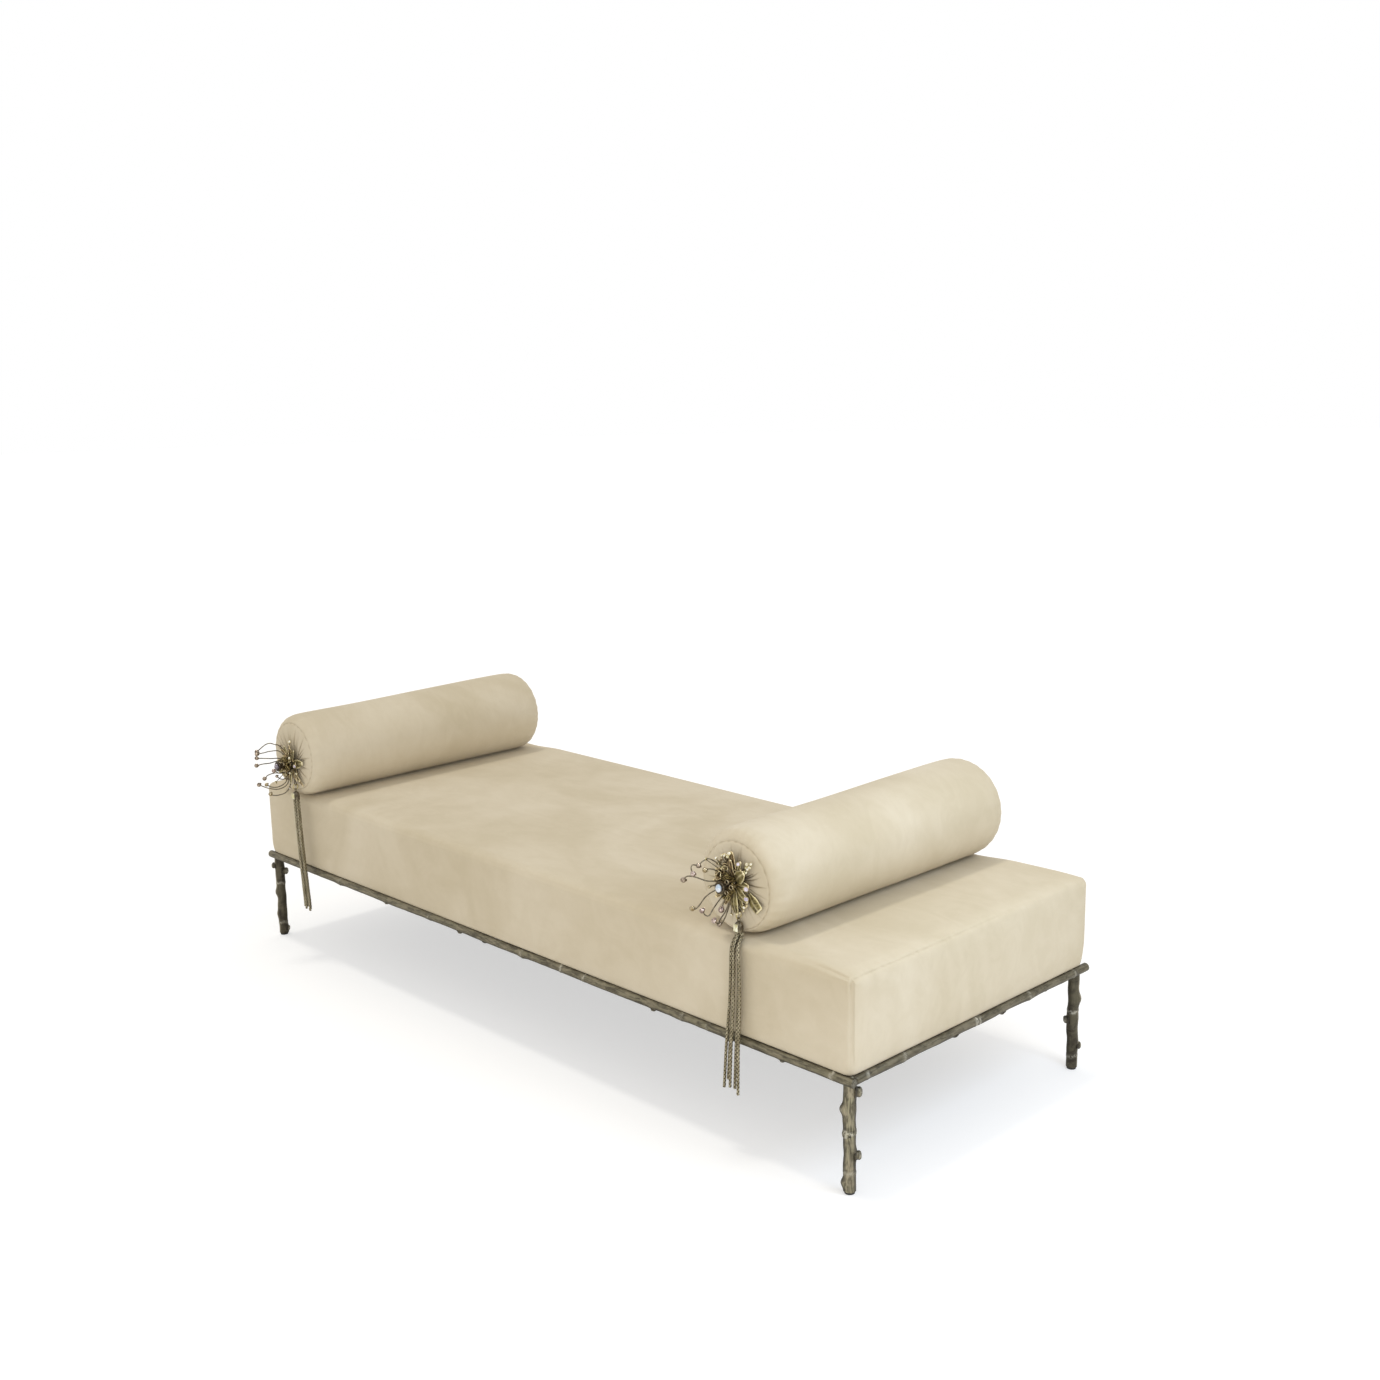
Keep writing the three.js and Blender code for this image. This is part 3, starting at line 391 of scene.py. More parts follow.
# %% Strand routes
# Routes are in millimetres: across, to the front, and up from under the cap.
strand_width = 6.6
strand_count = 5
strand_circle = 6.2
braid_pitch = 9.0
spread_deep = {"left": 0.2, "right": 0.4}
end_across = {"left": (12, 0.2, -12, -6, 6), "right": (20, 0.2, -18.8, -11, 7.2)}
end_shares = {"left": (1, 0.985, 0.972, 0.976, 0.992), "right": (1, 0.965, 0.985, 0.93, 0.975)}
routes = {
    "left": [
        (0, 0, 0), (0, 0, -8), (0.5, 0, -18), (2, 0.5, -36), (4, 1, -56), (6.5, 2, -78),
        (9, 2.5, -100), (11.5, 3, -124), (13.5, 3, -148), (15.5, 3, -172), (17.5, 3, -196),
        (19, 2, -222), (21, 2, -250), (22.5, 1, -278), (24, 1, -306),
    ],
    "right": [
        (0, 0, 0), (0.3, 0, -2.5), (1, 0.3, -5), (3, 3.4, -9), (5.5, 9.4, -12), (8.5, 16.4, -16.8),
        (11.5, 22.6, -23.5), (14, 26.4, -33), (15.5, 28, -45), (16, 28.3, -62), (15.5, 28, -90),
        (14, 27.8, -125), (11.5, 27.6, -160), (8, 27.6, -200), (4.5, 27.6, -240), (1.2, 27, -285),
        (-2, 26.6, -335),
    ],
}


def strand_points(side, index):
    """One strand's middle line from under the cap, in metres."""
    route = routes[side]
    low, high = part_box(f"{side}_tassel_cap")
    start = Vector(((low.x + high.x) / 2, (low.y + high.y) / 2, low.z - 0.3 * MM))
    turn = index / strand_count * math.tau + math.pi / 10
    last = len(route) - 1
    points = []
    for i, (across, front, down) in enumerate(route):
        share = i / last
        before, after = route[max(0, i - 1)], route[min(last, i + 1)]
        slope = Vector((after[1] - before[1], before[2] - after[2])).normalized()
        wide = strand_circle * math.cos(turn)
        wide += (end_across[side][index] - wide) * share ** 1.5
        deep = strand_circle * (1 - spread_deep[side] * share) * math.sin(turn)
        length = down * (1 + (end_shares[side][index] - 1) * share)
        points.append((across + wide, -front - deep * slope.y, length + deep * slope.x))
    return np.array(start) + np.array(points) * MM


print("routes of", [len(route) for route in routes.values()], "points")


# %% Braided strands
def braided(path, width, seed, plaits=3):
    """A braided cord: plaits wind both ways and pass over and under each other."""
    ring_step = 0.75 * MM
    path = bowed(path, int(np.linalg.norm(np.diff(path, axis=0), axis=1).sum() / ring_step))
    _, first, second = directions(path)
    run = np.concatenate([[0], np.cumsum(np.linalg.norm(np.diff(path, axis=0), axis=1))]) / MM
    turns = np.arange(18) / 18 * math.tau
    angle, along = np.meshgrid(turns, run * math.tau / braid_pitch + seed)
    one = np.cos(plaits * angle + along)
    two = np.cos(plaits * angle - along + math.pi / plaits)
    over = 0.5 + 0.5 * np.cos(2 * along)
    height = np.maximum(one * (0.75 + 0.25 * over), two * (1 - 0.25 * over))
    height = np.clip(height, -0.2, 1)
    radius = width / 2 * MM * (0.8 + 0.2 * height)
    rings = (
        path[:, None, :]
        + radius[..., None] * (np.cos(angle)[..., None] * first[:, None, :]
                               + np.sin(angle)[..., None] * second[:, None, :])
    )
    points, faces = loft(rings)
    return (points, faces), np.append(height.ravel(), [0.2, 0.2]), path


for side in ("left", "right"):
    for i in range(strand_count):
        shell, plait, path = braided(strand_points(side, i), strand_width, seed=1.7 * i)
        strand = piece(f"{side}_braided_strand_{i + 1}", [shell], f"{side}_tassel", braid,
                       [f"{side}_tassel_strand_{i + 1}"], marks={"plait": plait})
        path[::6].tolist() + [path[-1].tolist()]

# %% [markdown]
# ## Velvet
# The cloth is a pale beige velvet. Its nap lies one way here and another there, so it shows soft
# clouds a hand or two across, with a few crisper strokes. A picture of such a cloth would bring
# its own light along and repeat itself. Noise in three sizes doesn't: wide clouds, brush strokes
# and a fine grain. The grain is too small to model, so it stays in a bump. The mesh carries a
# mark of painted shade, which darkens seams, folds, the hem and the cloth beside and under a
# bolster.

# %% Velvet finish
def velvet_finish():
    """Pale velvet. Its nap makes clouds and strokes, and shade is painted into its seams and
    creases.
    """
    made = Finish("pale_velvet", roughness=0.92, sheen_weight=0.12, sheen_roughness=0.45,
                  sheen_tint=(1.0, 0.95, 0.85, 1))
    clouds = made.noise(2.6, 3, 0.55, 0.9)
    strokes = made.noise(7.5, 3, 0.6, 1.6, stretch=(1.0, 2.2, 1.6))
    mottle = made.noise(55, 3, 0.6, 0.4)
    grain = made.noise(900, 2, 0.7)
    nap = (made.spread(clouds, 0.32, 0.68) * 0.74 + made.spread(strokes, 0.36, 0.64) * 0.18
           + made.spread(mottle, 0.3, 0.7) * 0.08)
    tone = made.node("ShaderNodeValToRGB", {"stops": [
        (0.0, (0.565, 0.486, 0.34)), (0.45, (0.615, 0.535, 0.391)), (1.0, (0.675, 0.598, 0.457)),
    ]}, {0: nap})
    # Painted shade: darker in seams, folds, under the hem and along a bolster, near black where
    # deepest.
    crease = made.mark("crease")
    tone = made.blend(crease * 0.85, tone, (0.25, 0.185, 0.09))
    tone = made.blend(made.spread(crease, 0.55, 1) * 0.8, tone, (0.05, 0.035, 0.016))
    specks = made.spread(grain, 0.3, 0.7) * 0.07
    made.give("Base Color", made.blend(specks, tone, (0.42, 0.35, 0.23)))
    made.relief(grain + mottle * 0.6, 0.35 * MM, 0.5)
    return made.material


velvet = velvet_finish()
print(velvet.name, "has", len(velvet.node_tree.nodes), "nodes")

# %% [markdown]
# ## Letting cloth settle
# Padded cloth isn't the shape that was cut: the filling pushes it out between the seams. Blender's
# cloth solver does this with pressure from inside, while the seams are held. Swelling the mesh
# along its normals would be quicker, but it doesn't slacken beside a seam as cloth does. Only a
# few frames are needed. How far a point may move has a soft limit, so that nothing balloons.

# %% Cloth under pressure
def puffed(thing, held, pressure, frames, most):
    """Puffs a piece out from its held points, and moves no point further than most."""
    mesh = thing.data
    rest = places(mesh)
    group = thing.vertex_groups.new(name="held")
    group.add([int(i) for i in held], 1.0, "REPLACE")
    cloth = thing.modifiers.new("cloth", "CLOTH")
    cloth.settings.use_pressure = True
    cloth.settings.uniform_pressure_force = pressure
    cloth.settings.vertex_group_mass = "held"
    cloth.settings.effector_weights.gravity = 0
    cloth.settings.quality = 5
    cloth.settings.tension_stiffness = 20
    cloth.settings.compression_stiffness = 20
    cloth.settings.bending_stiffness = 2
    cloth.point_cache.frame_end = frames
    for now in range(1, frames + 1):
        bpy.context.scene.frame_set(now)
    seen = thing.evaluated_get(bpy.context.evaluated_depsgraph_get())
    moved = places(seen.data)
    thing.modifiers.remove(cloth)
    bpy.context.scene.frame_set(1)
    shift = moved - rest
    size = np.linalg.norm(shift, axis=1)[:, None] + 1e-9
    mesh.vertices.foreach_set("co", (rest + shift / size * most * np.tanh(size / most)).ravel())
    mesh.update()
    print(thing.name, "moved up to", round(float(size.max()) / MM, 1), "mm, kept within", most / MM)


def refined(thing, levels=1):
    """Applies a subdivision, so that seams can be drawn finer than the cloth was solved."""
    modifier = thing.modifiers.new("fine", "SUBSURF")
    modifier.levels = modifier.render_levels = levels
    seen = thing.evaluated_get(bpy.context.evaluated_depsgraph_get())
    fine = bpy.data.meshes.new_from_object(seen)
    thing.modifiers.remove(modifier)
    thing.data = fine
    fine.polygons.foreach_set("use_smooth", [True] * len(fine.polygons))
    return places(fine)


# %% Smooth steps and waves
def smooth(value, low, high):
    """0 below low, 1 above high, and a smooth step between them."""
    share = np.clip((value - low) / (high - low), 0, 1)
    return share * share * (3 - 2 * share)


wave_count = 7


def waves(points, seed, scale, strength):
    """A smooth wobble made of a few sines, the same on every run."""
    total = np.zeros(len(points))
    rng = np.random.default_rng(seed)
    for _ in range(wave_count):
        way = rng.normal(size=3)
        way /= np.linalg.norm(way)
        total += np.sin(points @ way * scale * rng.uniform(0.6, 1.6) + rng.uniform(0, math.tau))
    return strength * total / wave_count


print("halfway up a smooth step is", smooth(0.5, 0, 1))

# %% [markdown]
# ## The seat
# The seat is a firm slab in one long piece of cloth that runs up the front, over the top and down
# the back. A panel closes each end, and its seam runs along the top edge and down both corners.
# A box with rounded edges would have the same roundness everywhere, and the real one is rounder
# in front. So the slab starts as a grid on a box, finer near its edges, and each point there is
# pulled onto a round corner. The cloth solver crowns it, and the seams are pressed in last. The
# cloth lies lower where a bolster rests, so the places of the bolsters are worked out first.

# %% Seat and bolster places
bolster_radius = 111
bolster_length = 758


def bolster_end(side):
    """The middle of a bolster's front end, in metres."""
    low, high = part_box(f"{side}_bolster_cover")
    return np.array(((low.x + high.x) / 2, low.y + 1.6 * MM, high.z - bolster_radius * MM))


bolster_ends = {side: bolster_end(side) for side in ("left", "right")}
seat_low, seat_high = (np.array(corner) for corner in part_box("seat_cover"))
seat_middle = (seat_low + seat_high) / 2
front_round = np.array((22, 26, 17)) * MM
back_round = np.array((14, 14, 11)) * MM
crown = 0.5 * MM
hem_inset = (4.8, 7.5, 11, 17, 26)
hem_height = (-1.6, -2.3, -2.2, -0.9, 0.3)
print("bolster ends", {side: end.round(4).tolist() for side, end in bolster_ends.items()})


# %% Seat grid
def graded(low, high, fine, coarse, low_band, high_band):
    """Places from low to high, close together inside a band at each end."""
    start = np.arange(low, low + low_band, fine)
    stop = np.arange(high, high - high_band, -fine)[::-1]
    count = max(2, round((stop[0] - start[-1]) / coarse) + 1)
    return np.concatenate([start, np.linspace(start[-1], stop[0], count)[1:-1], stop])


def seat_grid():
    """An open box of points round the seat, closest near its edges and under its hem."""
    edges = 36 * MM
    xs = graded(seat_low[0], seat_high[0], 4 * MM, 19 * MM, edges, edges)
    ys = graded(seat_low[1], seat_high[1], 4 * MM, 16 * MM, edges, edges)
    turned_under = seat_low[2] - np.arange(len(hem_inset) - 1, 0, -1) * MM
    upright = graded(seat_low[2], seat_high[2], 4 * MM, 13 * MM, 14 * MM, 28 * MM)
    zs = np.concatenate([turned_under, upright])
    size = (len(xs), len(ys), len(zs))
    index = -np.ones(size, int)
    on_skin = np.zeros(size, bool)
    on_skin[0], on_skin[-1], on_skin[:, 0], on_skin[:, -1], on_skin[:, :, -1] = (True,) * 5
    index[on_skin] = np.arange(on_skin.sum())
    spots = np.argwhere(on_skin)
    points = np.stack([xs[spots[:, 0]], ys[spots[:, 1]], zs[spots[:, 2]]], axis=1)
    faces = []
    for sheet in (index[0], index[-1], index[:, 0], index[:, -1], index[:, :, -1]):
        a, b, c, d = sheet[:-1, :-1], sheet[1:, :-1], sheet[1:, 1:], sheet[:-1, 1:]
        faces += np.stack([a, b, c, d], axis=-1).reshape(-1, 4).tolist()
    return points, faces


def rounded_seat(points):
    """Pulls the box grid onto round edges, turns the hem under and drops the top's rim."""
    backward = smooth(points[:, 1], seat_middle[1] - 0.2, seat_middle[1] + 0.2)[:, None]
    corner_round = front_round + (back_round - front_round) * backward
    low = seat_low + corner_round
    low[:, 2] = -1
    core = np.clip(points, low, seat_high - corner_round)
    away = (points - core) / corner_round
    size = np.maximum(np.linalg.norm(away, axis=1), 1e-9)[:, None]
    out = np.where(size > 1e-6, core + corner_round * away / np.maximum(size, 1), points)
    height = (out[:, 2] - seat_low[2]) / MM
    under = np.clip(-height, 0, len(hem_inset) - 1)
    steps = np.arange(len(hem_inset))
    draw = MM * np.where(height < 0, np.interp(under, steps, hem_inset),
                         hem_inset[0] * np.clip(1 - height / 26, 0, 1) ** 2)
    turned_in = np.interp(under, steps, hem_height)
    lowered = height + hem_height[0] * np.clip(1 - height / 9, 0, 1) ** 2
    out[:, 2] = seat_low[2] + MM * np.where(height < 0, turned_in, lowered)
    inward = np.stack([
        np.clip((seat_middle[0] - out[:, 0]) / (seat_middle[0] - seat_low[0]), -1, 1),
        np.clip((seat_middle[1] - out[:, 1]) / (seat_middle[1] - seat_low[1]), -1, 1),
    ], axis=1)
    out[:, :2] += draw[:, None] * np.sign(inward) * np.abs(inward) ** 40
    inset = np.minimum(
        np.minimum(out[:, 0] - seat_low[0], seat_high[0] - out[:, 0]),
        np.minimum(out[:, 1] - seat_low[1], seat_high[1] - out[:, 1]),
    )
    rise = np.clip((out[:, 2] - seat_low[2]) / (seat_high[2] - seat_low[2]), 0, 1) ** 3
    out[:, 2] -= crown * rise * np.clip(1 - inset / 0.15, 0, 1) ** 2
    return out


# %% Seams and filling
def seam_distance(points):
    """How far a point is from the nearer end's seam, which runs over the edge of the end."""
    reach = np.abs(points[:, 0] - seat_middle[0])
    half = seat_high[0] - seat_middle[0]
    depth = np.abs(points[:, 1] - seat_middle[1])
    half_depth = seat_high[1] - seat_middle[1]
    top = seat_high[2] - crown
    at_end = half - front_round[0] * 0.32
    along_top = np.hypot(reach - at_end, 0.7 * (points[:, 2] - (top - front_round[2] * 0.3)))
    down_side = np.hypot(reach - at_end, 0.7 * (depth - (half_depth - front_round[1] * 0.3)))
    return np.minimum(along_top, down_side)


def filling(points, normal):
    """How far the filling pushes the cloth out, where a bolster presses it, and the shade there."""
    inside = (seat_high - seat_low) / 2 - np.abs(points - seat_middle)
    inside[:, 2] = seat_high[2] - points[:, 2]
    from_edge = 1 - np.exp(-np.sort(inside, axis=1)[:, 1].clip(0) / (28 * MM))
    above_hem = smooth(points[:, 2] - seat_low[2], 0, 70 * MM)
    upward_share = smooth(normal[:, 2], 0.4, 0.9)
    proud = np.where(normal[:, 1] < -0.4, 0, 3) * MM
    beside = np.min([abs(points[:, 0] - bolster_ends[side][0]) for side in bolster_ends], axis=0)
    front_end = np.where(points[:, 0] < 0, bolster_ends["left"][1], bolster_ends["right"][1])
    behind = points[:, 1] - front_end
    pressed = (1 - smooth(beside, 28 * MM, 150 * MM)) * smooth(behind, -90 * MM, -30 * MM)
    side_push = (proud + np.where(normal[:, 1] < -0.4, 1, 2) * MM * from_edge) * above_hem
    rise = (3 + 2.5 * smooth(points[:, 1], seat_middle[1] - 0.3, seat_high[1])) * MM
    lift = rise * (1 - pressed) - 0.5 * MM * pressed
    push = upward_share * lift + (1 - upward_share) * side_push
    from_ends = bolster_length * MM / 2 - abs(behind - bolster_length * MM / 2)
    # Painted shade where a bolster rests: a dark line along its contact and a fainter band beside
    # it.
    shaded = 0.07 * (1 - smooth(beside, 30 * MM, 50 * MM))
    shaded += 0.1 * (1 - smooth(beside, 30 * MM, 130 * MM))
    shaded *= smooth(from_ends, 8 * MM, 30 * MM) * smooth(normal[:, 2], 0.6, 0.95)
    return push, upward_share * pressed, shaded


# %% Seat cover
def seat_cover():
    """The cloth of the seat: puffed, refined, seamed and pressed under the bolsters."""
    points, faces = seat_grid()
    points = rounded_seat(points)
    print("seat grid", len(points), "points")
    hem = points[:, 2] < seat_low[2] + 6 * MM
    cover = piece("seat_upholstery", [(points, faces)], "base", velvet,
                  ["seat_cover", "seat_foam"])
    held = np.argwhere(hem | (seam_distance(points) < 5 * MM)).ravel()
    puffed(cover, held, pressure=4, frames=14, most=3.2 * MM)
    fine = refined(cover)
    normal = places(cover.data, "normal")
    gap = seam_distance(fine)
    along = fine[:, 1] * 9 + fine[:, 2] * 9
    pucker = 0.5 + 0.5 * np.sin(along * math.tau * 3.1 + 2 * np.sin(along * 7))
    groove = np.exp(-(gap / (1.9 * MM)) ** 2)
    puff = np.exp(-((gap - 7 * MM) / (5 * MM)) ** 2)
    near = np.exp(-(gap / (16 * MM)) ** 2)
    top_seam = 0.25 + 0.75 * smooth(fine[:, 2], seat_high[2] - 0.05, seat_high[2] - 0.02)
    shift = (-1.5 * MM * groove + 0.55 * MM * puff * (0.5 + 0.5 * pucker)) * top_seam
    shift += near * waves(fine, 5, 170, 0.6 * MM) + waves(fine, 3, 11, 0.9 * MM)
    above_hem = smooth(fine[:, 2] - seat_low[2], 0, 20 * MM)
    push, pressed, shaded = filling(fine, normal)
    # Painted shade: darker in the groove of each seam, on the hem that turns under, and beside the
    # bolsters.
    shade = groove * (0.1 + 0.16 * pucker) * top_seam
    shade += 0.4 * (1 - smooth(fine[:, 2] - seat_low[2], -2.1 * MM, -0.6 * MM))
    shade += shaded
    fine = fine + normal * (shift * above_hem * (1 - 0.85 * pressed) + push)[:, None]
    cover.data.vertices.foreach_set("co", fine.ravel())
    marked(cover.data, "crease", np.clip(shade, 0, 1))
    cover.data.update()
    print("seat", len(fine), "points")
    return cover


seat = seat_cover()

# %% [markdown]
# ## The bolsters
# A bolster is a round pillow: a tube of cloth with a disc of cloth at each end. The disc is
# gathered to its middle, which makes fine folds like spokes. The rings below follow that
# outline, and lie close together at the seam. The solver works on them while the seams and
# the resting strip are held. It could gather the disc too, but the folds would fall elsewhere
# on every change, so they are drawn afterwards, as functions of the angle.

# %% Bolster outline
bolster_rest = 109
seam_radius = 90
hole_radius = 3.5
end_outline = [
    (hole_radius, 8), (10, 6.8), (18, 5.2), (27, 3.4), (36, 1.8), (46, 0.4), (56, -0.6), (65, -0.9),
    (73, -0.6), (80, 0), (85, 0.8), (88, 1.5), (89.1, 1.9), (seam_radius, 2.1), (91.2, 2.2),
    (93.6, 2.7), (97.4, 4.4), (101.6, 8), (105.2, 13.2), (108, 20), (109.8, 29.5), (110.6, 42),
]
straight = [(bolster_radius - 0.3 * (abs(depth / bolster_length - 0.5) * 2) ** 3, depth)
            for depth in np.linspace(66, bolster_length - 66, 26)]
back_outline = [
    (hole_radius, 8), (10, 6.6), (18, 4.2), (27, 1.2), (36, -1.8), (46, -4.4), (56, -6.2),
    (65, -7.4), (73, -8), (80, -8), (85, -7.4), (88, -6.6), (89.1, -6.2), (seam_radius, -6),
    (91.2, -5.8), (93.6, -4.8), (97.4, -2.8), (101.6, 0.8), (105.2, 5.8), (108, 12.4),
    (109.8, 21), (110.6, 34),
]
bolster_outline = end_outline + straight + [
    (radius, bolster_length - depth) for radius, depth in reversed(back_outline)
]
flower_centre = {"left": (-6, -21), "right": (0, 0)}
disc_sag = {"left": 0, "right": 6}
bolster_sides = 240
fold_count = 36
print("bolster outline", len(bolster_outline), "rings")


# %% Bolster covers
def folds(turn, radius, seed):
    """Depth of the gathers, from 0 on the cloth to about 1 in a sharp fold. No two are alike."""
    rng = np.random.default_rng(seed)
    depth = np.zeros(len(turn))
    for i in range(fold_count):
        heading = (i + rng.uniform(-0.4, 0.4)) / fold_count * math.tau
        reach = rng.uniform(70, 102)
        width = rng.uniform(0.9, 1.7)
        bend = rng.uniform(-0.14, 0.14) * (radius - 15) / 80
        away = np.abs((turn - heading - bend + math.pi) % math.tau - math.pi) * radius
        strength = rng.uniform(0.35, 1) * (1 - smooth(radius, 0.6 * reach, reach))
        depth = np.maximum(depth, strength * np.exp(-(away / width) ** 1.4))
    return depth * smooth(radius, 8, 24)


def bolster_cover(side, seed):
    """The cloth of a bolster: puffed, refined, seamed and gathered at both ends."""
    end = bolster_ends[side]
    turns = np.arange(bolster_sides) / bolster_sides * math.tau
    rings = [
        end + MM * np.stack([
            radius * np.cos(turns), np.full(bolster_sides, depth),
            np.maximum(radius * np.sin(turns), -bolster_rest),
        ], axis=1)
        for radius, depth in bolster_outline
    ]
    cover = piece(f"{side}_bolster_upholstery", [loft(rings, False, False)], f"{side}_bolster",
                  velvet, [f"{side}_bolster_cover", f"{side}_bolster_core"])
    across, depth, up = (places(cover.data) - end).T / MM
    radius = np.hypot(across, up)
    near = np.minimum(depth, bolster_length - depth)
    held = (radius < 12) | ((near < 12) & (abs(radius - seam_radius) < 2))
    held |= up < -bolster_rest + 0.5
    puffed(cover, np.argwhere(held).ravel(), pressure=3, frames=12, most=2.2 * MM)

    fine = refined(cover)
    across, depth, up = (fine - end).T / MM
    radius = np.hypot(across, up)
    turn = np.arctan2(up, across)
    outwards = np.stack([across, 0 * across, up], axis=1)
    crease = np.zeros(len(fine))
    for near, sign in ((depth, -1), (bolster_length - depth, 1)):
        spot = near < 12
        fold = folds(turn, radius, 10 * seed + sign) * spot
        seam = np.exp(-((radius - seam_radius) / 1.4) ** 2) * spot
        phase = 28 * turn + 1.3 * np.sin(3 * turn + seed) + 0.8 * np.sin(5 * turn)
        pucker = 0.5 + 0.5 * np.sin(phase)
        past = np.exp(-((radius - seam_radius - 5) / 3.6) ** 2) * (near < 16) * pucker
        fine[:, 1] += sign * MM * (0.9 * spot * (radius < seam_radius) - 3 * fold - 1.1 * seam
                                   + (0.9 if sign < 0 else 1.7) * past)
        # Painted shade in the gathers and along the seam.
        crease += 0.95 * fold + seam * (0.06 + 0.3 * pucker ** 2)
        pull = np.exp(-np.maximum(near - 16, 0) / 18) * (radius > 98) * (pucker - 0.5)
        fine += (pull * 0.9 * MM)[:, None] * outwards / radius[:, None].clip(1)
        gathered = np.clip((seam_radius - radius) / (seam_radius - hole_radius), 0, 1) * spot
        if sign < 0:
            fine[:, 0] += flower_centre[side][0] * MM * gathered
            fine[:, 2] += flower_centre[side][1] * MM * gathered
            hangs = smooth(radius, 8, 60) * (1 - smooth(radius, 88, 106)) * (near < 16)
            fine[:, 2] -= disc_sag[side] * MM * hangs
    # Painted shade along the underside, where the bolster rests on the seat.
    crease += 0.6 * smooth(-up, bolster_rest - 18, bolster_rest - 8)
    around = outwards / radius[:, None].clip(1)
    fine += around * waves(fine, 20 + seed, 16, 1.2 * MM)[:, None] * (radius > 104)[:, None]
    plumper = 3 * MM * smooth(depth, 150, 700)
    fine += around * plumper[:, None] + np.stack([0 * plumper, 0 * plumper, plumper], axis=1)
    fine[:, 2] = np.maximum(fine[:, 2], end[2] - bolster_rest * MM)
    cover.data.vertices.foreach_set("co", fine.ravel())
    marked(cover.data, "crease", np.clip(crease, 0, 1))
    cover.data.update()
    print(cover.name, len(fine), "points")
    return cover


for number, side in enumerate(("left", "right")):
    bolster_cover(side, number + 1)

# %% [markdown]
# ## Turned parts
# Buttons, cups, hubs and balls are all round about an axis, as if turned on a lathe. A modifier
# could spin each outline, but it can't flute the wall. So one helper takes an outline of radius
# and place along the axis. Ribs make the wall go in and out around the axis, which turns a plain
# cup into a fluted one, or a button into a gathered one.

# %% Turned shells
def turned(outline, origin, axis, sides=24, ribs=0, rib_depth=0.0):
    """Rings round an axis, from an outline of (radius, along, share of the rib depth)."""
    axis = np.array(axis, float)
    axis /= np.linalg.norm(axis)
    first = np.cross(axis, (0.2, 0.1, 0.97) if abs(axis[2]) < 0.9 else (1, 0, 0))
    first /= np.linalg.norm(first)
    second = np.cross(axis, first)
    turns = np.arange(sides) / sides * math.tau
    circle = np.cos(turns)[:, None] * first + np.sin(turns)[:, None] * second
    rings = []
    for row in outline:
        radius, along = row[0], row[1]
        share = row[2] if len(row) > 2 else 1
        wall = radius + 0 * turns
        if ribs:
            wall = radius * (1 + rib_depth * share * np.cos(ribs * turns))
        rings.append(np.asarray(origin) + axis * along * MM + wall[:, None] * MM * circle)
    return loft(rings)


def ball(centre, radius, sides=16, collar=None):
    """A small ball with a collar on the side where its wire goes in."""
    axis = np.array(collar if collar is not None else (0, 0, 1), float)
    bands = 9
    outline = [(0.05 * radius, -radius * 0.999)]
    outline += [
        (radius * math.sin(math.pi * i / bands), -radius * math.cos(math.pi * i / bands))
        for i in range(1, bands)
    ]
    if collar is None:
        outline.append((0.05 * radius, radius * 0.999))
    else:
        outline += [(0.42 * radius, radius * 0.93), (0.42 * radius, radius * 1.22),
                    (0.3 * radius, radius * 1.24)]
    return turned(outline, centre, axis, sides)


print("a plain ball has", len(ball((0, 0, 0), 1)[0]), "points")

# %% Covered buttons at the back
button_outline = [
    (3, -30, 0), (3.1, -1, 0), (14.5, -0.6, 0.6), (15.8, 0.3, 1), (15.9, 1.6, 1), (15.2, 3, 0.8),
    (13.6, 4.3, 0.5), (11, 5.5, 0.2), (7.5, 6.4, 0), (3.5, 6.9, 0), (0.5, 7, 0),
]
for side in ("left", "right"):
    low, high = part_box(f"{side}_bolster_button")
    behind = np.array(((low.x + high.x) / 2, high.y - 7 * MM, (low.z + high.z) / 2))
    shell = turned(button_outline, behind, (0, 1, 0), sides=72, ribs=24, rib_depth=0.018)
    button = piece(f"{side}_covered_button", [shell], f"{side}_bolster", velvet,
                   [f"{side}_bolster_button"], marks={"crease": np.zeros(len(shell[0]))})
    print(button.name, "at", behind.round(4).tolist())

# %% [markdown]
# ## The lining under the seat
# A dust cover is a thin dark cloth, stapled under the frame to hide it. It is a flat sheet, so a
# grid is enough, with a slight sag and soft ripples between its held edges. Its edge is turned
# under, and staples hold it every few centimetres.

# %% Lining finish and sheet
def lining_finish():
    """A dark cloth with threads both ways."""
    made = Finish("dark_lining", roughness=0.9)
    threads = made.noise(420, 2, stretch=(1, 0.08, 1)) * 0.5
    threads = threads + made.noise(420, 2, stretch=(0.08, 1, 1)) * 0.5
    tone = made.blend(made.spread(threads, 0.4, 0.6), (0.018, 0.017, 0.016), (0.045, 0.043, 0.04))
    made.give("Base Color", tone)
    made.relief(threads, 0.2 * MM, 0.6)
    return made.material


lining = lining_finish()
lining_steps = (106, 40)


